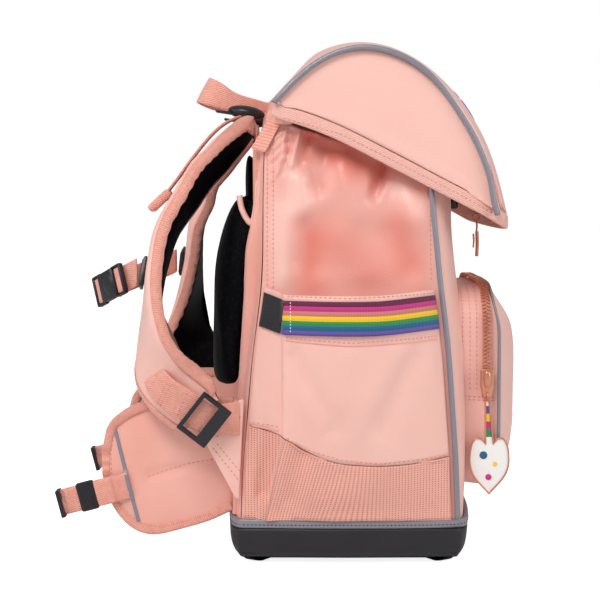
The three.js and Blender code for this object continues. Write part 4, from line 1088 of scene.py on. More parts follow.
@dataclass
class Shell:
    """The fabric body: side panels with their gathers, front and back panels, hinge, tabs and piping."""

    finishes: Finishes
    side_folds: tuple[Fold, ...] = (
        Fold((34, 336), (42, 302), 2.6, 4.6),
        Fold((27, 334), (35, 304), 4.5, -3.4),
        Fold((45, 332), (55, 322), 1.9, 2.2),
        Fold((45, 325), (56, 314), 1.9, 2.3),
        Fold((46, 317), (57, 306), 1.9, 2.2),
        Fold((47, 309), (57, 298), 1.9, 2.0),
        Fold((49, 301), (57, 291), 2.0, 1.6),
        Fold((48.3, 336), (48.3, 312), 1.3, 1.6),
        Fold((48.3, 312), (53.3, 295), 1.3, 1.4),
        Fold((45.4, 334), (45.4, 311), 1.6, -2.0),
        Fold((45.4, 311), (50, 295), 1.6, -1.6),
        Fold((27, 303), (22, 284), 3.5, -2.4),
        Fold((36, 290), (34, 268), 8, 5.0),
        Fold((22, 286), (16, 312), 9, -5.0),
        Fold((-29, 304), (-19, 279), 4.5, -4.8),
        Fold((-14, 296), (-14, 282), 5, 1.6),
        Fold((-41, 290), (-48, 262), 10, 4.0),
        Fold((4, 300), (-6, 268), 11, 3.6),
        Fold((14, 322), (-38, 296), 17, -8.0),
        Fold((22, 262), (28, 228), 12, -3.4),
        Fold((-30, 250), (-46, 228), 12, -3.0),
        Fold((44, 262), (46, 220), 8, 2.4),
        Fold((2, 246), (-12, 222), 14, 2.6),
        Fold((54, 290), (57, 225), 6, 1.2),
    )
    # Painted light on the side cloth: positive folds paint highlight on ridges, negative folds paint shade in
    # the dents.
    painted_light_folds: tuple[Fold, ...] = (
        Fold((50, 270), (50, 212), 9, 0.3),
        Fold((37, 286), (34, 276), 9, 0.32),
        Fold((44, 307), (42, 300), 4, 0.25),
        Fold((-41, 284), (-52, 272), 9, 0.34),
        Fold((-66, 262), (-68, 212), 6, 0.24),
        Fold((28, 246), (27, 212), 13, -0.32),
        Fold((-38, 254), (-47, 226), 14, -0.32),
        Fold((6, 244), (-16, 220), 18, -0.2),
        Fold((18, 314), (-4, 300), 14, -0.24),
        Fold((-27, 302), (-20, 284), 6, -0.22),
        Fold((28, 328), (33, 306), 3.5, -0.25),
    )
    seam_at: float = 60.5
    seam_gap: float = 4.5
    rolls: tuple[tuple[float, float, float], ...] = (
        (36, 84, 4.0),
        (80, 81.5, 5.0),
        (120, 78.5, 5.5),
        (160, 76, 5.5),
        (200, 73, 6.0),
        (240, 70.5, 6.5),
        (266, 67.5, 4.0),
        (300, 65, 2.2),
        (330, 60, 1.6),
    )

    def side_panel(self, side: Side) -> bpy.types.Object:
        """One side panel, with its gathers under the flap."""

        def shift(point: Vector, normal: Vector) -> Vector:
            """The folds' lift, outwards."""
            lift = folded(self.side_folds, point.y, point.z) + 0.9 * ripple(point, 24)
            inside = ease((point.z - 200) / 20) * ease((333 - point.z) / 10)
            return Vector((side.value * lift * inside, 0, 0)) + tucked(point) + self.lean(point)

        shape = refined(soft_copy(f"side_panel_{side.word}", 3, 1.0), lambda p: p.z > 284 and 20 < p.y < 62)
        # Writes the painted shade and highlight onto the side cloth.
        shape = painted_light(sculpt(shape, shift), self.tone_and_painted_light)
        return piece(f"side_cloth_{side.word}", shape, self.finishes.satin, [f"side_panel_{side.word}"])

    def lean(self, point: Vector) -> Vector:
        """The shift that draws the body's upper rear corner forwards."""
        return Vector((0, -5 * ease((point.z - 318) / 20) * ease((point.y - 30) / 20), 0))

    def tone_and_painted_light(self, point: Vector) -> float:
        """The side cloth's painted light: painted shade in the dents, a painted shadow under the flap,
        painted highlight on the ridges.
        """
        edge = 324 + 0.51 * (point.y - 4)
        # Painted shadow cast by the flap, strongest just under its edge.
        painted_flap_shadow = ease((36 - (edge - point.z)) / 30) * ease((46 - point.y) / 14)
        return 0.66 + folded(self.painted_light_folds, point.y, point.z) - 0.34 * painted_flap_shadow

    def tab_shift(self, side: Side) -> Shift:
        """The shift that wraps the ribbed tab round the body's rear corner."""

        low, high = (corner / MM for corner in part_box(f"corner_tab_{side.word}"))

        def shift(point: Vector, normal: Vector) -> Vector:
            """Slants the tab and bends it in behind the corner."""
            across = (point.y - low.y) / (high.y - low.y)
            down = (high.z - point.z) / (high.z - low.z)
            y = blend(blend(50.2, 60.6, across), blend(57.7, 72.6, across), down)
            z = blend(blend(334.4, 336.6, across), blend(309.9, 314.3, across), down)
            past = max(0.0, y - 62)
            return Vector((-side.value * (0.02 * past * past - 0.8), y - point.y, z - point.z))

        return shift

    def rear_roll(self, side: Side) -> bmesh.types.BMesh:
        """The soft roll of cloth over the seam between side and back."""
        rows, steps, stations = self.rolls, 80, []
        for i in range(steps + 1):
            height = blend(rows[0][0], rows[-1][0], i / steps)
            x = side.value * (101 - 0.6 * ease((height - 250) / 80))
            point = Vector((x, read_rows(rows, 1, height), height))
            half = read_rows(rows, 2, height) + 0.25 * ripple(point, 14)
            stations.append(Station(point, REARWARDS, SIDEWAYS, half, 4.5))
        return rolled_band(stations, 20, 0.8)

    def notch(self, side: Side) -> bmesh.types.BMesh:
        """The pale binding that turns in a V between the back's pads."""
        corners = [(82, 279), (80.5, 270), (77, 262), (73, 258), (70.5, 264), (69, 276), (68, 290)]
        points = [Vector((side.value * 96, y, z)) for y, z in corners]
        stations = [
            Station(here, along.cross(SIDEWAYS).normalized(), SIDEWAYS, 2.2, 6.5)
            for here, along in along_path(points)
        ]
        return rolled_band(stations, 16, 0.6)

    def ribbed_strip(self, side: Side) -> bmesh.types.BMesh:
        """The strip of ribbed tape between the upper pad and the side."""
        stations, steps = [], 40
        for i in range(steps + 1):
            t = i / steps
            point = Vector((side.value * 99, blend(66.5, 69.8, t), blend(318, 264, t)))
            stations.append(Station(point, REARWARDS, SIDEWAYS, blend(5.2, 1.6, t), 3.0))
        return rolled_band(stations)

    def corner(self, side: Side) -> bmesh.types.BMesh:
        """The gathered cloth that closes the corner between the hinge, the side panel and the flap."""
        low = [(97, 62, 336), (104, 60.5, 334), (109, 56, 333), (112, 49, 332), (110, 42, 332)]
        high = [(97, 57.5, 346), (107, 57, 345.5), (114.5, 53.5, 344), (116, 47, 342), (114, 42, 341)]
        lower, upper = ([Vector((side.value * x, y, z)) for x, y, z in line] for line in (low, high))

        def place(u: float, v: float) -> Vector:
            """A place on the cloth, with small gathers."""
            gather = 0.7 * math.sin(2 * math.pi * u * 6) * math.sin(math.pi * v)
            middle = on_path(lower, u).lerp(on_path(upper, u), v)
            return (middle + Vector((side.value * gather, gather, 0))) * MM

        shape = cloth_grid(place, 48, 10, (0.06, 0.012))
        bmesh.ops.solidify(shape, geom=shape.faces[:], thickness=1.2 * MM)
        bmesh.ops.recalc_face_normals(shape, faces=shape.faces[:])
        return shape

    def build(self) -> None:
        """Makes the body's cloth and trim."""
        for side in Side:
            panel = self.side_panel(side)
            surface = Surface(panel)
            rows = [
                [(self.seam_at, 318), (self.seam_at, 205)],
                [(self.seam_at - self.seam_gap, 318), (self.seam_at - self.seam_gap, 205)],
                [(-66, 322), (-61, 300), (-62, 215)],
            ]
            side_stitches(f"side_stitches_{side.word}", side, surface, rows, self.finishes.thread)
            rim = swell(soft_copy(f"body_piping_{side.word}", 2, 0.5), 0.35)
            piece(f"front_piping_{side.word}", rim, self.finishes.grey, [f"body_piping_{side.word}"])
            tab = sculpt(soft_copy(f"corner_tab_{side.word}", 3, 0.9), self.tab_shift(side))
            piece(f"ribbed_tab_{side.word}", tab, self.finishes.ribbed, [f"corner_tab_{side.word}"])
            piece(f"rear_roll_{side.word}", self.rear_roll(side), self.finishes.coral)
            piece(f"corner_cloth_{side.word}", self.corner(side), self.finishes.coral)
            piece(f"pad_notch_{side.word}", self.notch(side), self.finishes.blush)
            piece(f"pad_strip_{side.word}", self.ribbed_strip(side), self.finishes.wrapped)
        front = sculpt(soft_copy("front_panel", 3, 1.0), lambda p, n: n * 0.5 * ripple(p, 30) + tucked(p))
        piece("front_cloth", front, self.finishes.blush, ["front_panel"])
        back = sculpt(soft_copy("back_panel", 2, 1.0), lambda p, n: tucked(p) + self.lean(p))
        piece("back_cloth", back, self.finishes.coral, ["back_panel"])
        hinge = sculpt(soft_copy("flap_hinge", 3, 1.0), lambda p, n: self.lean(p) * 1.3)
        piece("flap_hinge_cloth", hinge, self.finishes.coral, ["flap_hinge"])


@dataclass
class Flap:
    """The domed flap, its bound edge, piping, patches, clasp and zip pull."""

    finishes: Finishes
    stitch_line: tuple[tuple[float, float], ...] = ((49, 345), (6, 333), (-38, 311), (-83, 288), (-108, 274))

    def build(self) -> None:
        """Makes the flap's pieces."""
        top = sculpt(soft_copy("flap_top", 2, 1.0), self.drawn_in)
        crown = piece("flap_crown", top, self.finishes.blush, ["flap_top"])
        for side in Side:
            cloth = sculpt(soft_copy(f"flap_side_{side.word}", 3, 1.0), self.reach_back)
            piece(f"flap_half_moon_{side.word}", cloth, self.finishes.blush, [f"flap_side_{side.word}"])
            bead = sculpt(swell(soft_copy(f"flap_piping_{side.word}", 2, 0.5), 0.4), self.drawn_on)
            piece(f"flap_bead_{side.word}", bead, self.finishes.grey, [f"flap_piping_{side.word}"])
        edge = sculpt(swell(soft_copy("flap_binding", 3, 0.35), 0.3), self.wrap_corner)
        binding = piece("flap_bound_edge", edge, self.finishes.binding, ["flap_binding"])
        surface = Surface(binding)
        for side in Side:
            row = [(y, z - 8.5) for y, z in self.stitch_line]
            side_stitches(f"flap_stitches_{side.word}", side, surface, [row], self.finishes.thread)
        self.pull()
        plate = sculpt(hard_copy("flap_clasp", 1.5), lambda p, n: Vector((0, -1, 5)))
        piece("clasp_plate", plate, self.finishes.plastic, ["flap_clasp"])
        self.patches(Surface(crown))

    def pull(self) -> None:
        """The zip pull that hangs under the flap: ring, link, grip and a cord's end beside it."""
        low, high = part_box("flap_pull")
        x = (low.x + high.x) / 2 / MM
        shape = wire_ring(point_mm(x, -114.5, 260), 3.0, 0.7, Vector((1, 0, 0)))
        piece("pull_ring", shape, self.finishes.rose)
        for name, y, top, foot, radius, replaced in (
            ("pull_grip", -115.6, 248, 226.5, 1.5, ["flap_pull"]),
            ("pull_link", -115.2, 257.5, 247.5, 0.8, []),
            ("pull_cord", -112.6, 246, 234, 0.8, []),
        ):
            places = ((y, top), (y - 0.4, (top + foot) / 2), (y, foot))
            rod = tube_through([point_mm(x, *place) for place in places], radius * MM)
            piece(name, rod, self.finishes.rose, replaced)

    def drawn_in(self, point: Vector, normal: Vector) -> Vector:
        """Draws the crown's rear forwards and gives the cloth a faint unevenness."""
        return Vector((0, -7 * ease((point.y - 18) / 36), 0)) + normal * 0.5 * ripple(point, 40)

    def drawn_on(self, point: Vector, normal: Vector) -> Vector:
        """Draws the piping onto the seam between the crown and the half-moon."""
        inside = Vector((0, -38 - point.y, 300 - point.z)).normalized()
        front = ease((-55 - point.y) / 40)
        foot = 8 * front * ease((296 - point.z) / 16)
        return inside * 1.5 + Vector((math.copysign(1.4 * front - 0.8, point.x), 4 * front, -foot))

    def reach_back(self, point: Vector, normal: Vector) -> Vector:
        """Closes the half-moon's rear tip and front corner, and gives it a faint unevenness."""
        back = ease((point.y - 38) / 12)
        seam = read_rows(self.stitch_line[::-1], 1, point.y)
        flush = math.copysign(0.7 * ease((seam + 10 - point.z) / 8), point.x)
        drop = 8.5 * min(1.0, max(0.0, (-87 - point.y) / 22)) * ease((seam + 32 - point.z) / 26)
        return Vector((flush, 2 * back, -1.5 * back - drop)) + normal * 0.25 * ripple(point, 45)

    def wrap_corner(self, point: Vector, normal: Vector) -> Vector:
        """Rounds the binding's rear ends round the flap's corner."""
        back = max(0.0, min(1.0, (point.y - 43) / 11))
        return Vector((-math.copysign(1.5 * back**3, point.x), 2.4 * back, 1.6 * back * back))

    def patches(self, surface: Surface) -> None:
        """Sews two plain patches on the flap's front."""
        for name, x, y, z, radius, finish in (
            ("round_patch", -38, -92, 349, 15, self.finishes.purple),
            ("leaf_patch", 30, -113, 314, 17, self.finishes.green),
        ):
            patch_on(name, surface, point_mm(x, y, z), Vector((0, 0.8, -0.6)), radius, finish)


def patch_on(
    name: str,
    surface: Surface,
    place: Vector,
    direction: Vector,
    radius: float,
    finish: bpy.types.Material,
    points: int = 40,
    lift: float = 0.9,
) -> bpy.types.Object | None:
    """Lays a thin raised patch on a surface.

    Args:
        name: the piece's name.
        surface: what it is laid on.
        place: its middle, in metres, near the surface.
        direction: the way it is pressed on.
        radius: its radius in millimetres.
        finish: its material.
        points: corners of its outline; ten make a star.
        lift: how far it stands proud, in millimetres.

    Returns:
        The patch.
    """
    direction = direction.normalized()
    side = direction.cross(Vector((0, 0, 1))).normalized()
    up = side.cross(direction)
    shape = bmesh.new()
    bmesh.ops.create_circle(shape, cap_ends=True, segments=points, radius=radius * MM)
    if points == 10:
        for i, vert in enumerate(shape.verts):
            vert.co *= 0.5 if i % 2 else 1.0
    bmesh.ops.triangulate(shape, faces=shape.faces[:])
    bmesh.ops.subdivide_edges(shape, edges=shape.edges[:], cuts=3, use_grid_fill=True)
    for vert in shape.verts:
        start = place - direction * 0.08 + side * vert.co.x + up * vert.co.y
        found = surface.drop(start, direction)
        if found:
            vert.co = found[0] - direction * lift * MM
        else:
            vert.co = start + direction * 0.08
    faces = bmesh.ops.extrude_face_region(shape, geom=shape.faces[:])["geom"]
    moved = [part for part in faces if isinstance(part, bmesh.types.BMVert)]
    bmesh.ops.translate(shape, verts=moved, vec=direction * lift * 1.3 * MM)
    bmesh.ops.recalc_face_normals(shape, faces=shape.faces[:])
    return piece(name, shape, finish)


@dataclass
class SidePocket:
    """A bellows side pocket: cloth above, hole mesh below, with the striped band and its elastic tab."""

    finishes: Finishes
    mouth: float = 208.0
    foot: float = 39.0
    slope: float = 0.26
    folds: tuple[Fold | Step, ...] = (
        Step((48, 214), (48, 92)),
        Fold((40, 160), (14, 108), 8, -2.6),
        Fold((30, 130), (20, 112), 8, 1.8),
        Fold((-48, 158), (-24, 108), 9, -2.8),
        Fold((-34, 160), (-8, 110), 9, 1.6),
        Fold((4, 160), (2, 130), 12, 1.6),
    )
    mesh_folds: tuple[Fold | Step, ...] = (
        Step((47, 106), (62, 34), 2.4, 5.0, 16),
        Fold((33, 92), (46, 45), 8, -2.6),
        Fold((-20, 70), (10, 48), 14, 1.2),
    )

    def lifted(self, side: Side, folds: Sequence[Fold | Step]) -> Shift:
        """The shift that gives a layer its folds."""

        def shift(point: Vector, normal: Vector) -> Vector:
            """The folds' lift, outwards, held at the pocket's seams."""
            lift = folded(folds, point.y, point.z) + 0.5 * ripple(point, 22)
            lift = max(lift, blend(-0.4, -9.0, ease((point.z - self.foot - 4) / 26)))
            held = ease((74 - point.y) / 8) * ease((point.y + 76) / 8)
            return Vector((side.value * lift * held, 0, -4.0 * ease((self.foot + 5 - point.z) / 5)))

        return shift

    def mapped(self, shape: bmesh.types.BMesh, top: Callable[[float], float]) -> bmesh.types.BMesh:
        """Gives a layer its cloth map: along the bag, with its bend followed, and down from a top line."""
        layer = shape.loops.layers.uv.new("cloth")
        for face in shape.faces:
            for loop in face.loops:
                place = loop.vert.co
                down = top(place.y / MM) * MM - place.z
                crease = blend(62, 47, (place.z / MM - 34) / 72)
                lean = self.slope * ease((place.y / MM + 30) / 60) * ease((crease + 1 - place.y / MM) / 2)
                loop[layer].uv = (place.y - lean * max(0.0, down - 0.1), down)
        return shape

    def mouth_line(self, y: float) -> float:
        """Height of the pocket's mouth at y, in millimetres."""
        return self.mouth + 3 - 5 * ease((71 - y) / 18) + 3 * ease((-16 - y) / 55)

    def build_side(self, side: Side) -> None:
        """Makes the pocket on one side."""
        word = side.word
        names = {part: f"pocket_{part}_{word}" for part in ("fabric", "mesh", "band", "tab")}
        cloth = refined(soft_copy(names["fabric"], 3, 1.0), lambda p: 40 < p.y < 58, 2)
        sculpt(cloth, self.lifted(side, self.folds))
        panel = piece(f"pocket_cloth_{word}", cloth, self.finishes.blush, [names["fabric"]])
        mesh = refined(soft_copy(names["mesh"], 3, 1.0), lambda p: 42 < p.y < 70, 2)
        sculpt(mesh, self.lifted(side, self.mesh_folds))
        self.mapped(mesh, self.mouth_line)
        holes = piece(f"pocket_hole_mesh_{word}", mesh, self.finishes.mesh, [names["mesh"]])
        both = Surface(panel, holes)
        band = sculpt(soft_copy(names["band"], 3, 1.0), self.lifted(side, self.folds))
        self.mapped(band, lambda y: self.mouth_line(y) - 4)
        striped = piece(f"pocket_stripes_{word}", band, self.finishes.stripes, [names["band"]])
        tab = sculpt(soft_copy(names["tab"], 3, 1.0), self.lifted(side, self.folds))
        piece(f"pocket_elastic_{word}", tab, self.finishes.elastic, [names["tab"]])
        # The hems and the curved seam are thin cords in the darker coral cloth: the cord stands for the
        # folded edge, and its darker colour is painted shade along the fold.
        for name, line in (
            ("hem", [(46.5, 173.4), (0, 170.2), (-66, 173)]),
            ("gusset_hem", [(72, 107.4), (52, 104.4)]),
            (
                "curved_hem",
                [(47, 99), (36, 90.5), (22, 84.5), (6, 80.6), (-8, 79), (-23, 78.6), (-48, 79.6), (-72, 82)],
            ),
        ):
            shaded_hem_cord = laid_ribbon(both, side_points(side, line), inwards(side), 1.3, 0.9)
            piece(f"pocket_{name}_{word}", shaded_hem_cord, self.finishes.coral)
        rows = [
            [(46, 205.5), (0, 204.6), (-66, 207)],
            [(47, 175), (0, 172), (-66, 175)],
            [(46, 100.5), (36, 92.5), (6, 84), (-23, 80.5), (-72, 84)],
            [(72, 110), (52, 107)],
        ]
        side_stitches(f"pocket_stitches_{word}", side, Surface(panel), rows, self.finishes.thread)
        tack, tack_rows = Stitching(1.6, 2.3, 0.35), [[(43, 203), (43, 178)]]
        side_stitches(f"band_tack_{word}", side, Surface(striped), tack_rows, self.finishes.white, tack)

    def build(self) -> None:
        """Makes both pockets."""
        for side in Side:
            self.build_side(side)


def sloped(point: Vector) -> Vector:
    """The shift that rounds the front pocket's upper front, in millimetres."""
    top = ease((point.z - 172) / 40)
    return Vector((0, 5 * top * ease((-104 - point.y) / 14), -5 * top))


@dataclass
class FrontPocket:
    """The zipped front pocket with its teeth, slider, charm, piping and plain printed shapes."""

    finishes: Finishes
    width: float = 184.0
    height: float = 164.0
    foot: float = 50.0
    depth: float = 116.0
    power: float = 2 / 5.5
    tape_lift: float = 3.6
    zip_y: float = -107.0
    zip_end: float = 125.0
    tooth: tuple[float, float, float] = (3.9, 1.2, 1.8)
    pitch: float = 2.9
    slant: float = 24.0

    def rim(self, angle: float, grow: float) -> Vector:
        """A place on the pocket's outline, in millimetres, at the zip's depth."""

        def round_off(value: float) -> float:
            """The outline's squared-off circle."""
            return math.copysign(abs(value) ** self.power, value)

        middle = self.foot + self.height / 2
        x = (self.width / 2 + grow) * round_off(math.cos(angle))
        place = Vector((x, self.zip_y, middle + (self.height / 2 + grow) * round_off(math.sin(angle))))
        return place + sloped(place)

    def teeth(self) -> bmesh.types.BMesh:
        """Two rows of small teeth that meet along the chain."""
        middle = self.foot + self.height / 2
        low = math.asin(-(((middle - self.zip_end) / (self.height / 2)) ** (1 / self.power)))
        fine = [self.rim(blend(low, math.pi - low, i / 2000), self.tape_lift) for i in range(2001)]
        shape = bmesh.new()
        travelled, due, turn = 0.0, self.pitch / 2, 1
        for start, end in zip(fine, fine[1:]):
            step = (end - start).length
            if travelled + step >= due:
                along = (end - start).normalized()
                face = along.cross(Vector((0, 1, 0))).normalized()
                frame_axes = Matrix((Vector((0, 1, 0)), along, face)).transposed().to_4x4()
                size = Matrix.Diagonal((*self.tooth, 1)).to_4x4()
                place = Matrix.Translation((start + Vector((0, turn * 1.5, 0))) * MM)
                leaned = Matrix.Rotation(math.radians(turn * self.slant), 4, "Z")
                bmesh.ops.create_cube(shape, size=MM, matrix=place @ frame_axes.to_4x4() @ leaned @ size)
                turn = -turn
                due += self.pitch / 2
            travelled += step
        return shape

    def slider(self) -> None:
        """The slider's body, its bridge and the ring that carries the charm."""
        body = hard_copy("zip_slider", 1.2)
        low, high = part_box("zip_slider")
        middle = (low + high) / 2
        matrix = Matrix.Translation(Vector((low.x - 0.4 * MM, middle.y, middle.z + 3 * MM)))
        knob = Matrix.Diagonal((1.6, 3.0, 6.5, 1)).to_4x4()
        bmesh.ops.create_uvsphere(body, u_segments=20, v_segments=12, radius=MM, matrix=matrix @ knob)
        piece("slider_body", body, self.finishes.rose, ["zip_slider"])
        ring_place = Vector((low.x + 0.6 * MM, middle.y, low.z + 1.0 * MM))
        piece("slider_ring", wire_ring(ring_place, 3.2, 0.7, Vector((0, 1, 0))), self.finishes.rose)

    def build(self) -> None:
        """Makes the pocket."""
        gusset = sculpt(soft_copy("front_pocket_gusset", 3, 0.9), self.sewn_on)
        side_cloth = piece("pocket_gusset_cloth", gusset, self.finishes.blush, ["front_pocket_gusset"])
        front = sculpt(soft_copy("front_pocket_face", 3, 0.6), lambda p, n: sloped(p))
        face = piece("pocket_face_cloth", front, self.finishes.blush, ["front_pocket_face"])
        bead = sculpt(soft_copy("front_pocket_piping", 2, 0.2), lambda p, n: sloped(p) - n * 0.3)
        piece("pocket_bead", bead, self.finishes.grey, ["front_pocket_piping"])
        tape = sculpt(soft_copy("front_pocket_zip", 2, 1.0), lambda p, n: sloped(p))
        piece("zip_tape", tape, self.finishes.chain_tape, ["front_pocket_zip"])
        piece("zip_teeth", self.teeth(), self.finishes.rose, smooth=20)
        self.slider()
        self.charm()
        for side in Side:
            rows = [
                [(-89, 206), (-89, 60)],
                [(-94.5, 208), (-94.5, 130)],
                [(-99.5, 208), (-99.5, 130)],
                [(-89, 125), (-113, 124)],
                [(-89, 122.5), (-113, 121.5)],
            ]
            name = f"gusset_stitches_{side.word}"
            side_stitches(name, side, Surface(side_cloth), rows, self.finishes.thread)
        self.print_shapes(Surface(face))

    def sewn_on(self, point: Vector, normal: Vector) -> Vector:
        """Presses the gusset's rear edge onto the front panel and leaves it a little uneven."""
        pressed = Vector((0, 5 * ease((point.y + 104) / 14), 0))
        return pressed + normal * 0.5 * ripple(point, 26) + sloped(point)

    def charm(self) -> None:
        """The plain heart charm on a striped stem, with a raised rim and three plain dots."""
        low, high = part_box("zip_charm")
        shape = hard_copy("zip_charm", 0.3)
        stripes = (self.finishes.purple, self.finishes.yellow, self.finishes.magenta, self.finishes.green)
        top, step = high.z - 6 * MM, 6 * MM
        for i in range(len(stripes) + 1):
            geometry = shape.verts[:] + shape.edges[:] + shape.faces[:]
            bmesh.ops.bisect_plane(shape, geom=geometry, plane_co=(0, 0, top - i * step), plane_no=(0, 0, 1))
        for face in shape.faces:
            band = math.floor((top - face.calc_center_median().z) / step)
            outer = face.normal.x < -0.5
            face.material_index = band + 1 if outer and 0 <= band < len(stripes) else 0
        plate = piece("heart_charm", shape, [self.finishes.white, *stripes], ["zip_charm"], smooth=20)
        outline = sorted_outline(merged_copy("zip_charm"), low.x)
        rim = tube_through([Vector((low.x - 0.2 * MM, p.y, p.z)) for p in outline], 0.7 * MM, closed=True)
        piece("charm_rim", rim, self.finishes.rose)
        surface = Surface(plate)
        middle = (low.y + high.y) / 2
        for name, y, up, radius, finish in (
            ("charm_dot_low", 0.5, 13, 2.4, self.finishes.magenta),
            ("charm_dot_high", 4.5, 30, 3.0, self.finishes.teal),
            ("charm_dot_middle", -4.5, 23, 1.7, self.finishes.yellow),
        ):
            place = Vector((low.x, middle + y * MM, low.z + up * MM))
            patch_on(name, surface, place, Vector((1, 0, 0)), radius, finish, lift=0.3)

    def print_shapes(self, surface: Surface) -> None:
        """Plain stars and dots on the pocket's face."""
        shapes = (
            ("star_white", -32, 150, 24, self.finishes.white, 10),
            ("dot_yellow", 28, 176, 10, self.finishes.yellow, 40),
            ("dot_green", 46, 138, 8, self.finishes.green, 40),
            ("dot_magenta", 6, 112, 11, self.finishes.magenta, 40),
            ("star_purple", 40, 92, 15, self.finishes.purple, 10),
            ("dot_white", -40, 92, 13, self.finishes.white, 40),
        )
        for name, x, z, radius, finish, points in shapes:
            patch_on(name, surface, point_mm(x, -130, z), Vector((0, 1, 0)), radius, finish, points, 0.35)


def wire_ring(middle: Vector, radius: float, wire: float, axis: Vector) -> bmesh.types.BMesh:
    """A ring of round wire, with sizes in millimetres, spun about an axis."""
    shape = bmesh.new()
    side = axis.orthogonal().normalized()
    turn = Matrix((side, axis, side.cross(axis))).transposed().to_4x4()
    place = Matrix.Translation(middle + side * radius * MM) @ turn
    profile = bmesh.ops.create_circle(shape, segments=10, radius=wire * MM, matrix=place)
    edges = list({edge for vert in profile["verts"] for edge in vert.link_edges})
    geometry = profile["verts"] + edges
    bmesh.ops.spin(
        shape, geom=geometry, cent=middle, axis=axis, angle=2 * math.pi, steps=28, use_merge=True
    )
    bmesh.ops.recalc_face_normals(shape, faces=shape.faces[:])
    return shape


def sorted_outline(shape: bmesh.types.BMesh, x: float) -> list[Vector]:
    """The closed outline of a flat plate's face at x, in order."""
    edges = [
        edge
        for edge in sharp_edges(shape, 60)
        if all(abs(vert.co.x - x) < 0.1 * MM for vert in edge.verts)
    ]
    links: dict[int, list[bmesh.types.BMVert]] = {}
    for edge in edges:
        a, b = edge.verts
        links.setdefault(a.index, []).append(b)
        links.setdefault(b.index, []).append(a)
    start = edges[0].verts[0]
    path, last, here = [start.co.copy()], None, start
    for _ in range(len(edges) - 1):
        ahead = [vert for vert in links[here.index] if vert is not last]
        last, here = here, ahead[0]
        path.append(here.co.copy())
    shape.free()
    return path


def tube_through(
    points: Sequence[Vector], radius: float, closed: bool = False, around: int = 8
) -> bmesh.types.BMesh:
    """A round bead through points, all in metres.

    Args:
        points: the bead's centre line.
        radius: its radius.
        closed: whether the line runs back to its start.
        around: the corners of its section.

    Returns:
        The bead.
    """
    count = len(points)
    frames = []
    for i, place in enumerate(points):
        before = points[(i - 1) % count] if closed else points[max(0, i - 1)]
        after = points[(i + 1) % count] if closed else points[min(count - 1, i + 1)]
        along = (after - before).normalized()
        side = along.cross(Vector((1, 0, 0.01))).normalized()
        frames.append((place, side, side.cross(along)))
    steps = count if closed else count - 1

    def place_at(u: float, v: float) -> Vector:
        """A place on the bead."""
        centre, side, up = frames[round(v * steps) % count]
        angle = 2 * math.pi * u
        return centre + radius * (side * math.cos(angle) + up * math.sin(angle))

    shape = cloth_grid(place_at, around, steps, (2 * math.pi * radius, 1.0))
    return outwards(shape)


STRAP_RUN = (
    (0.0, 0.0, 0.0, 0.0, 0.0, 0.96),
    (1.0, 0.07, -0.01, 0.02, -3.0, 0.98),
    (2.0, 0.2, 0.035, 0.08, -8.0, 1.0),
    (3.0, 0.37, 0.1, 0.17, -12.0, 1.0),
    (4.0, 0.53, 0.163, 0.27, -12.0, 1.0),
    (5.0, 0.665, 0.236, 0.38, -10.0, 1.0),
    (6.0, 0.855, 0.355, 0.55, -5.0, 1.0),
    (7.0, 0.95, 0.484, 0.7, 0.0, 1.0),
    (8.0, 0.99, 0.62, 0.84, 8.0, 1.0),
    (9.0, 0.975, 0.751, 0.94, 25.0, 0.98),
    (10.0, 0.89, 0.845, 0.99, 52.0, 0.92),
    (11.0, 0.72, 0.917, 1.0, 75.0, 0.86),
    (12.0, 0.462, 0.991, 1.0, 82.0, 0.78),
)


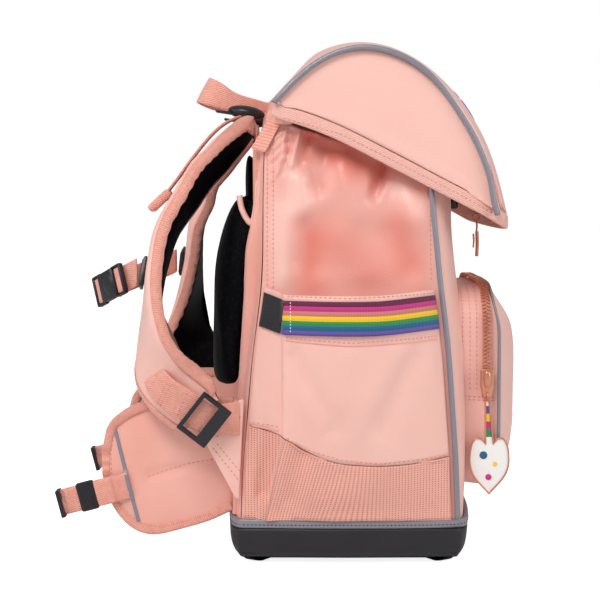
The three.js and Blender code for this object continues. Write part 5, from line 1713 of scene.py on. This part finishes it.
@dataclass
class ShoulderStrap:
    """A curved padded strap: cloth outside, black mesh inside, and gathered tape round its edges."""

    finishes: Finishes
    side: Side
    width: float = 58.0
    thickness: float = 15.0
    reach: float = 77.0
    drop: float = 217.0
    splay: float = 66.0
    sway: float = 14.0
    root: tuple[float, float, float] = (54.0, 71.2, 330.0)
    steps: int = 24
    tape_in: float = 9.0
    pucker: float = 0.9
    pucker_pitch: float = 10.0

    def row(self, s: float, column: int) -> float:
        """One column of the strap's run at s from 0 to 1."""
        return read_rows(STRAP_RUN, column, s * (len(STRAP_RUN) - 1))

    def centre(self, s: float) -> Vector:
        """The middle of the strap at s, in millimetres."""
        sway = 0.0
        if self.side is Side.RIGHT:
            sway = self.sway * math.sin(math.pi * min(1.0, max(0.0, (s - 0.3) / 0.62))) ** 2
        return Vector(
            (
                self.side.value * (self.root[0] + self.row(s, 3) * self.splay),
                self.root[1] + self.row(s, 1) * self.reach - sway,
                self.root[2] - self.row(s, 2) * self.drop,
            )
        )

    def station(self, s: float) -> Station:
        """The strap's section at s."""
        step = 0.004
        along = self.centre(min(1.0, s + step)) - self.centre(max(0.0, s - step))
        along.x *= ease(s / 0.35)
        along = along.normalized().lerp(Vector((0, 1, 0)), 1 - ease(s * self.steps / 2)).normalized()
        outer = Vector((0, -along.z, along.y)).normalized()
        outwards_way = (along.cross(outer) * self.side.value).normalized()
        angle = math.radians(self.row(s, 4))
        return Station(
            self.centre(s),
            outwards_way * math.cos(angle) - outer * math.sin(angle),
            outer * math.cos(angle) + outwards_way * math.sin(angle),
            self.row(s, 5) * self.width / 2 * (1 - 0.3 * ease((s - 0.96) / 0.04)),
            self.thickness / 2,
        )

    def skin(self, s: float, angle: float, lift: float) -> Vector:
        """A place on the strap's skin, in metres, at an angle round its section."""
        station = self.station(s)
        wide = math.copysign(abs(math.cos(angle)) ** 0.45, math.cos(angle))
        high = math.copysign(abs(math.sin(angle)) ** 0.6, math.sin(angle))
        point = (
            station.point
            + station.across * wide * (station.half_width + lift)
            + station.face * high * (station.half_wall + lift)
        )
        return point * MM

    def core(self) -> bmesh.types.BMesh:
        """The padded strap, its face numbers telling cloth from mesh."""
        around, length = 36, 110

        def place(u: float, v: float) -> Vector:
            """A place on the core."""
            angle = 2 * math.pi * u
            crinkle = 0.5 * ripple(Vector((u * 60, v * 260, 0)), 12)
            return self.skin(v, angle, crinkle - 0.4)

        shape = cloth_grid(place, around, length, (1.0, 0.3))
        layer = shape.loops.layers.uv["cloth"]
        for face in shape.faces:
            share = sum(loop[layer].uv.x for loop in face.loops) / len(face.loops)
            face.material_index = 1 if 0.51 < share < 0.99 else 0
        return outwards(shape)

    def edge_tape(self, edge: int) -> bmesh.types.BMesh:
        """The gathered tape round one long edge."""

        def place(u: float, v: float) -> Vector:
            """A place on the tape, which runs from the outer face round the edge."""
            start = math.radians(blend(52, 9, ease(v / 0.3)) + 50 * ease((v - 0.72) / 0.2))
            end = math.radians(-34)
            flat = Vector((v * 300, edge * 40, 7))
            wave = math.sin(2 * math.pi * v * 300 / self.pucker_pitch + 3 * ripple(flat, 35))
            gather = wave * (0.35 + 0.65 * max(0.0, ripple(flat, 60)))
            angle = blend(start, end + math.radians(8) * gather, u)
            angle = angle if edge > 0 else math.pi - angle
            lift = 0.5 + self.pucker * u * (0.5 + 0.5 * gather)
            return self.skin(blend(0.004, 0.985, v), angle, lift)

        shape = cloth_grid(place, 10, 240, (0.022, 0.3))
        bmesh.ops.recalc_face_normals(shape, faces=shape.faces[:])
        return shape

    def build(self) -> bpy.types.Object:
        """Makes the strap with its tapes."""
        word = self.side.word
        cloths = [self.finishes.blush, self.finishes.air]
        core = piece(f"padded_strap_{word}", self.core(), cloths, [f"shoulder_strap_{word}"])
        for edge, label in ((1, "outer"), (-1, "inner")):
            tape = piece(f"strap_{label}_tape_{word}", self.edge_tape(edge), self.finishes.wrapped)
            wall = tape.modifiers.new("Solidify", "SOLIDIFY")
            wall.thickness = 0.8 * MM
            wall.offset = -1
        return core


@dataclass
class Straps:
    """Both shoulder straps with their webbing and buckles."""

    finishes: Finishes
    lifter_line: tuple[tuple[float, float, float], ...] = (
        (66, 80, 340.5),
        (70, 92, 335.5),
        (74, 103.5, 326),
        (78, 117, 309.5),
        (82, 131, 290),
        (84, 142, 276),
    )

    def build(self) -> None:
        """Makes the straps and what lies on them."""
        for side in Side:
            ShoulderStrap(self.finishes, side).build()
            word = side.word
            node = f"adjuster_webbing_{word}"
            tape = piece(f"adjuster_tape_{word}", soft_copy(node, 2, 0.9), self.finishes.tape, [node])
            rows = [
                [(134.4, 141.5), (147, 114.5)],
                [(131.6, 140.3), (144.2, 113.3)],
                [(119, 134), (131, 108)],
            ]
            side_stitches(f"adjuster_stitches_{word}", side, Surface(tape), rows, self.finishes.thread)
            self.lifter(side)
            lock = f"adjuster_buckle_{word}"
            moved = sculpt(hard_copy(lock, 0.7), lambda p, n: Vector((0, -6.5, -3.5)))
            piece(f"ladder_lock_{word}", moved, self.finishes.plastic, [lock])
            self.anchor(side)

    def anchor(self, side: Side) -> None:
        """The three-cornered cloth that holds the strap's webbing, with its rows of stitches."""

        def reshape(point: Vector, normal: Vector) -> Vector:
            """Draws the front corner up and the upper corner far up."""
            t = (point.y - 78) / 28
            return Vector((0, 0, 15 * t + 22 * max(0.0, (point.z - 77) / 28) * (1 - t)))

        node = f"anchor_{side.word}"
        shape = sculpt(hard_copy(node, 0.8), reshape)
        cloth = piece(f"anchor_cloth_{side.word}", shape, self.finishes.blush, [node])
        rows = [[(102, 91), (79, 62)], [(99, 94), (79, 70)], [(99, 98), (79, 115)]]
        side_stitches(f"anchor_stitches_{side.word}", side, Surface(cloth), rows, self.finishes.thread)

    def lifter(self, side: Side) -> None:
        """The load lifter: webbing that stands off the strap to its folded end, and its rounded cam."""
        word = side.word
        points = [Vector((side.value * x, y, z)) for x, y, z in self.lifter_line]
        stations = [
            Station(here, SIDEWAYS, SIDEWAYS.cross(along), 10.0, 0.9) for here, along in along_path(points)
        ]
        node = f"lifter_webbing_{word}"
        piece(f"lifter_tape_{word}", rolled_band(stations), self.finishes.wrapped, [node])
        axes = self.tilted(point_mm(side.value * 84, 143, 275), -43)
        fold = bmesh.new()
        block(fold, axes, (0, 0, 0), (21, 21, 6.5), 2.6)
        piece(f"lifter_fold_{word}", fold, self.finishes.tape)
        tilt = self.tilted(point_mm(side.value * 68, 77.5, 342.8), 8.5)
        cam = bmesh.new()
        dome = tilt @ Matrix.Diagonal((11, 14.5, 5.4, 1)).to_4x4()
        bmesh.ops.create_uvsphere(cam, u_segments=36, v_segments=20, radius=MM, matrix=dome)
        block(cam, tilt, (0, 17, -2.2), (15, 13, 2), 0.8)
        piece(f"lifter_cam_{word}", cam, self.finishes.plastic, [f"lifter_buckle_{word}"])

    def tilted(self, place: Vector, degrees: float) -> Matrix:
        """A frame at a place, tilted about X."""
        return Matrix.Translation(place) @ Matrix.Rotation(math.radians(degrees), 4, "X")


@dataclass
class BackPads:
    """The black mesh pads on the back."""

    finishes: Finishes
    fullness: tuple[tuple[float, float], ...] = (
        (60, 0),
        (130, 1.5),
        (172, 3.5),
        (220, 9),
        (247, 10.5),
        (264, 11),
        (276, 9.5),
        (300, 4),
    )

    def fuller(self, node: str, rear: float) -> Shift:
        """The shift that fills a pad out to its real depth."""

        def shift(point: Vector, normal: Vector) -> Vector:
            """Moves the outer face back, and draws the upper pad down to the notch."""
            outer = ease((point.y - rear) / 6)
            if node == "upper_pad":
                return Vector((0, 3.5 * outer, -16 * ease((304 - point.z) / 22)))
            if node.startswith("lumbar"):
                return Vector((0, read_rows(self.fullness, 1, point.z) * outer, 0))
            return Vector()

        return shift

    def build(self) -> None:
        """Makes the four pads."""
        for node in ("lumbar_pad_left", "lumbar_pad_right", "upper_pad", "hip_pad"):
            low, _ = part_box(node)
            rear = low.y / MM + 3
            rough = sculpt(soft_copy(node, 2, 0.25), self.fuller(node, rear))
            shape = stuffed(rough, 1.5, 4.0, lambda p, rear=rear: p.y < rear)
            pad = piece(f"{node}_cover", shape, self.finishes.air, [node])


WING_OUTLINE = (
    (0.0, 0.19, 1.0),
    (0.18, 0.11, 1.0),
    (0.4, 0.045, 1.0),
    (0.6, 0.0, 0.985),
    (0.75, 0.03, 0.94),
    (0.87, 0.13, 0.87),
    (0.96, 0.28, 0.77),
    (1.0, 0.43, 0.6),
)


@dataclass
class HipBelt:
    """The padded hip wings with their bound edge, reflective strip, webbing and buckle."""

    finishes: Finishes
    root: float = 87.0
    length: float = 101.0
    height: float = 105.0
    foot: float = 19.5
    half_spacing: float = 99.0
    toe_in: float = 10.0
    thickness: float = 11.0
    binding: float = 8.0
    strip: tuple[tuple[float, float], tuple[float, float]] = ((178, 100.5), (160, 29))

    @property
    def middle(self) -> tuple[float, float]:
        """The wing's middle over y and z, in millimetres."""
        return self.root + self.length * 0.35, self.foot + self.height * 0.55

    def outline(self, side: Side) -> list[Vector]:
        """The wing's edge from its upper root round the tip to its lower root, in millimetres."""
        points = []
        for column, shares in ((2, range(0, 41)), (1, range(39, -1, -1))):
            for i in shares:
                share = math.sin(math.pi / 2 * i / 40)
                x = self.half_spacing - self.toe_in * share * share
                z = self.foot + self.height * read_rows(WING_OUTLINE, column, share)
                points.append(Vector((side.value * x, self.root + self.length * share, z)))
        return points

    def bound_edge(self, side: Side) -> bmesh.types.BMesh:
        """The tape folded over the wing's edge."""
        points = self.outline(side)
        middle = Vector((side.value * self.half_spacing, *self.middle))
        half = self.binding / 2
        stations = []
        for i, point in enumerate(points):
            along = (points[min(len(points) - 1, i + 1)] - points[max(0, i - 1)]).normalized()
            across = along.cross(SIDEWAYS).normalized()
            if across.dot(middle - point) < 0:
                across.negate()
            wall = self.thickness / 2 + 0.3 * ripple(point, 6)
            stations.append(Station(point + across * (half - 0.8), across, SIDEWAYS, half, wall))
        return rolled_band(stations, 20, 0.55)

    def quilted(self, point: Vector, normal: Vector) -> Vector:
        """Draws the cover in along the quilted line and fills it out between."""
        line = Fold((98, 79), (151, 65), 4.5, 2.0)
        crown = Fold((120, 50), (150, 52), 24, 1.2)
        return normal * (crown.rise(point.y, point.z) - line.rise(point.y, point.z) + 0.3 * ripple(point, 20))

    def webbing(self, side: Side, surface_piece: bpy.types.Object) -> None:
        """The hip webbing with its elastic keeper, folded end and slide."""
        word = side.word
        node = f"hip_webbing_{word}"
        tape = soft_copy(node, 2, 0.9)
        (top_y, top_z), (foot_y, foot_z) = self.strip
        edge = point_mm(0, foot_y - top_y, foot_z - top_z)
        inner = Vector((0, edge.z, -edge.y)).normalized()
        geometry = tape.verts[:] + tape.edges[:] + tape.faces[:]
        bmesh.ops.bisect_plane(
            tape, geom=geometry, plane_co=point_mm(0, top_y, top_z), plane_no=inner, clear_outer=True
        )
        band = piece(f"hip_tape_{word}", outwards(tape), self.finishes.tape, [node])
        axes = node_axes(node)
        keeper, fold = bmesh.new(), bmesh.new()
        way = 1 if (axes.to_3x3() @ Vector((1, 0, 0))).y > 0 else -1
        block(fold, axes, (way * 17, 0, -0.4), (17, 19, 4.0), 1.6)
        block(fold, axes, (way * -5.5, 0, -0.4), (15, 20.5, 5.4), 2.2)
        block(keeper, axes, (way * 8, 0, -0.4), (14, 22.5, 6.2), 1.8)
        piece(f"hip_fold_{word}", fold, self.finishes.tape)
        piece(f"hip_keeper_{word}", keeper, self.finishes.elastic)
        slide = f"hip_buckle_{word}"
        bar = hard_copy(slide, 0.5)
        low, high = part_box(slide)
        middle = (low + high) / 2 / MM
        sculpt(bar, lambda p, n: (middle - p) * 0.2 + Vector((0, -1.5, 0)))
        piece(f"hip_slide_{word}", bar, self.finishes.plastic, [slide])
        surface = Surface(surface_piece, band)
        ribbon = laid_ribbon(surface, side_points(side, self.strip), inwards(side), 2.8, 0.9)
        piece(f"wing_strip_{word}", ribbon, self.finishes.grey)

    def build(self) -> None:
        """Makes both wings."""
        for side in Side:
            word = side.word
            cover = sculpt(soft_copy(f"hip_wing_{word}", 3, 0.2), self.quilted)
            wing = piece(f"wing_{word}", cover, self.finishes.coral, [f"hip_wing_{word}"])
            edge = piece(f"wing_bound_edge_{word}", self.bound_edge(side), self.finishes.wrapped)
            surface = Surface(wing, edge)
            inset = [(p.y, p.z) for p in self.outline(side)[4:-4:3]]
            seam = [(blend(y, self.middle[0], 0.1), blend(z, self.middle[1], 0.1)) for y, z in inset]
            rows = [[(98, 78.5), (122.6, 74.5), (139.4, 69), (151.8, 64.3)], seam]
            side_stitches(f"wing_stitches_{word}", side, surface, rows, self.finishes.thread)
            self.webbing(side, wing)


@dataclass
class ChestStrap:
    """The chest webbing with its buckle and slides."""

    finishes: Finishes

    def build(self) -> None:
        """Makes the chest strap."""
        piece("chest_tape", soft_copy("chest_webbing", 2, 0.9), self.finishes.tape, ["chest_webbing"])
        self.clip()
        for side in Side:
            node = f"chest_slide_{side.word}"
            piece(f"chest_keeper_{side.word}", hard_copy(node, 0.6), self.finishes.plastic, [node])

    def clip(self) -> None:
        """The side-release buckle: a slotted frame, an oval button and the webbing in its slots."""
        axes = node_axes("chest_buckle")
        frame_shape, cloth = bmesh.new(), bmesh.new()
        block(frame_shape, axes, (0, 0, 2.2), (20, 23, 6.5), 2.0)
        for way in (-1, 1):
            block(frame_shape, axes, (way * 18, 0, 1.6), (2.6, 24, 4.2), 1.0)
            for edge in (-1, 1):
                block(frame_shape, axes, (way * 13, edge * 11.2, 1.6), (11, 2.0, 4.0), 0.8)
            block(cloth, axes, (way * 13.2, 0, 1.4), (7.5, 19.5, 2.4), 0.7)
        size = Matrix.Diagonal((6.5, 8.5, 1.2, 1)).to_4x4()
        button = axes @ Matrix.Translation(point_mm(-3, 0, 5.2)) @ size
        bmesh.ops.create_uvsphere(frame_shape, u_segments=28, v_segments=14, radius=MM, matrix=button)
        piece("chest_clip", frame_shape, self.finishes.plastic, ["chest_buckle"])
        piece("chest_clip_webbing", cloth, self.finishes.tape)


@dataclass
class Handle:
    """The webbing grab handle."""

    finishes: Finishes

    def build(self) -> None:
        """Makes the handle."""
        tape = sculpt(refined(soft_copy("grab_handle", 2, 0.9), lambda p: True), self.droop)
        piece("handle_tape", tape, self.finishes.tape, ["grab_handle"])

    def droop(self, point: Vector, normal: Vector) -> Vector:
        """Lets the loop sink a little, narrows it at its roots and gives its crown a soft wave."""
        near = ease((100 - point.y) / 30)
        sink = -5.5 * ease((point.y - 60) / 40)
        wave = 1.2 * math.sin((point.z - 350) / 7) * ease((point.y - 96) / 16)
        forward = -9 * ease((90 - point.y) / 14)
        return Vector((0, wave + forward, sink + 0.4 * near * (347 - point.z)))


@dataclass
class Studio:
    """The camera at the photograph's angle, the pale floor and the soft lights."""

    distance: float = 1.27
    elevation: float = 4.0
    target: tuple[float, float, float] = (0.0, 0.036, 0.1927)
    view_width: float = 0.495
    sensor: float = 36.0
    floor_glow: float = 0.85
    ambient: float = 0.36

    def camera(self) -> None:
        """Sets up the camera, looking along +X."""
        data = bpy.data.cameras.new("view")
        data.sensor_width = self.sensor
        data.lens = self.sensor * self.distance / self.view_width
        made = bpy.data.objects.new("view", data)
        angle = math.radians(self.elevation)
        away = Vector((-math.cos(angle), 0, math.sin(angle)))
        made.location = Vector(self.target) + away * self.distance
        made.rotation_mode = "QUATERNION"
        made.rotation_quaternion = (-away).to_track_quat("-Z", "Y")
        bpy.context.scene.collection.objects.link(made)
        bpy.context.scene.camera = made

    def floor(self) -> None:
        """Lays the pale floor."""
        shape = bmesh.new()
        bmesh.ops.create_grid(shape, x_segments=1, y_segments=1, size=8.0)
        mesh = bpy.data.meshes.new("floor")
        shape.to_mesh(mesh)
        shape.free()
        shading = Shading("pale_floor", 0.9)
        shading.set("Base Color", (0.9, 0.9, 0.9, 1))
        shading.set("Emission Color", (1, 1, 1, 1))
        seen = shading.node("ShaderNodeLightPath").outputs["Is Camera Ray"]
        glow = shading.sum(seen, self.floor_glow, "MULTIPLY")
        shading.feed(shading.shader.inputs["Emission Strength"], glow)
        mesh.materials.append(shading.material)
        made = bpy.data.objects.new("floor", mesh)
        bpy.context.scene.collection.objects.link(made)

    def light(self, name: str, place: tuple[float, float, float], size: float, power: float) -> None:
        """Adds one square soft light that faces the bag.

        Args:
            name: the light's name.
            place: where it stands, in metres.
            size: its side, in metres.
            power: its power in watts.
        """
        data = bpy.data.lights.new(name, "AREA")
        data.shape = "SQUARE"
        data.size = size
        data.energy = power
        made = bpy.data.objects.new(name, data)
        made.location = place
        made.rotation_mode = "QUATERNION"
        made.rotation_quaternion = (Vector(self.target) - Vector(place)).to_track_quat("-Z", "Y")
        bpy.context.scene.collection.objects.link(made)

    def build(self) -> None:
        """Makes the studio."""
        self.camera()
        self.floor()
        self.light("key", (-1.35, 0.55, 1.65), 0.8, 21.5)
        self.light("front", (-0.9, -1.6, 0.8), 0.9, 10)
        self.light("rear", (-0.7, 1.8, 0.9), 0.9, 7)
        world = bpy.data.worlds.new("studio")
        world.use_nodes = True
        nodes, links = world.node_tree.nodes, world.node_tree.links
        dim = nodes["Background"]
        dim.inputs["Color"].default_value = (1, 1, 1, 1)
        dim.inputs["Strength"].default_value = self.ambient
        seen = nodes.new("ShaderNodeBackground")
        mixed = nodes.new("ShaderNodeMixShader")
        links.new(nodes.new("ShaderNodeLightPath").outputs["Is Camera Ray"], mixed.inputs["Fac"])
        links.new(dim.outputs[0], mixed.inputs[1])
        links.new(seen.outputs[0], mixed.inputs[2])
        links.new(mixed.outputs[0], nodes["World Output"].inputs["Surface"])
        seen.inputs["Color"].default_value = (1, 1, 1, 1)
        bpy.context.scene.world = world
        bpy.context.scene.view_settings.view_transform = "Standard"


class Held(Enum):
    """How a panel of cloth is held."""

    STRETCHED = "stretched"
    GATHERED = "gathered"


@dataclass(frozen=True)
class Cut:
    """The flat cut of equal panels: width and length in millimetres, area in square centimetres."""

    panels: tuple[str, ...]
    width: float
    length: float
    area: float
    held: Held = Held.STRETCHED

    def declare(self) -> None:
        """Goes over each panel and does nothing with it; no panel is marked as cloth or given its cut."""
        for name in self.panels:
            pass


CUTS = (
    Cut(("side_cloth_left", "side_cloth_right"), 166, 330, 466),
    Cut(("front_cloth",), 262, 292, 702),
    Cut(("back_cloth",), 252, 334, 779),
    Cut(("flap_crown",), 240, 276, 648),
    Cut(("flap_half_moon_left", "flap_half_moon_right"), 168, 112, 88),
    Cut(("flap_hinge_cloth",), 198, 15, 27),
    Cut(("pocket_cloth_left", "pocket_cloth_right"), 190, 132, 193),
    Cut(("pocket_hole_mesh_left", "pocket_hole_mesh_right"), 185, 72, 90, Held.GATHERED),
    Cut(("corner_cloth_left", "corner_cloth_right"), 36, 12.6, 4.5, Held.GATHERED),
    Cut(("pocket_face_cloth",), 200, 172, 300),
    Cut(("pocket_gusset_cloth",), 33, 620, 175),
    Cut(("anchor_cloth_left", "anchor_cloth_right"), 27, 75, 12.5),
)


def main() -> None:
    """Builds the studio and the bag in order, and reports each part."""
    logging.basicConfig(level=logging.INFO, format="%(message)s")
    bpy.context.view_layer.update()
    Studio().build()
    finishes = Finishes()
    parts = (
        Base(finishes),
        Shell(finishes),
        Flap(finishes),
        SidePocket(finishes),
        FrontPocket(finishes),
        BackPads(finishes),
        Straps(finishes),
        HipBelt(finishes),
        ChestStrap(finishes),
        Handle(finishes),
    )
    for part in parts:
        part.build()
        log.info("built %s", type(part).__name__)
    for cut in CUTS:
        cut.declare()


if __name__ == "__main__":
    main()
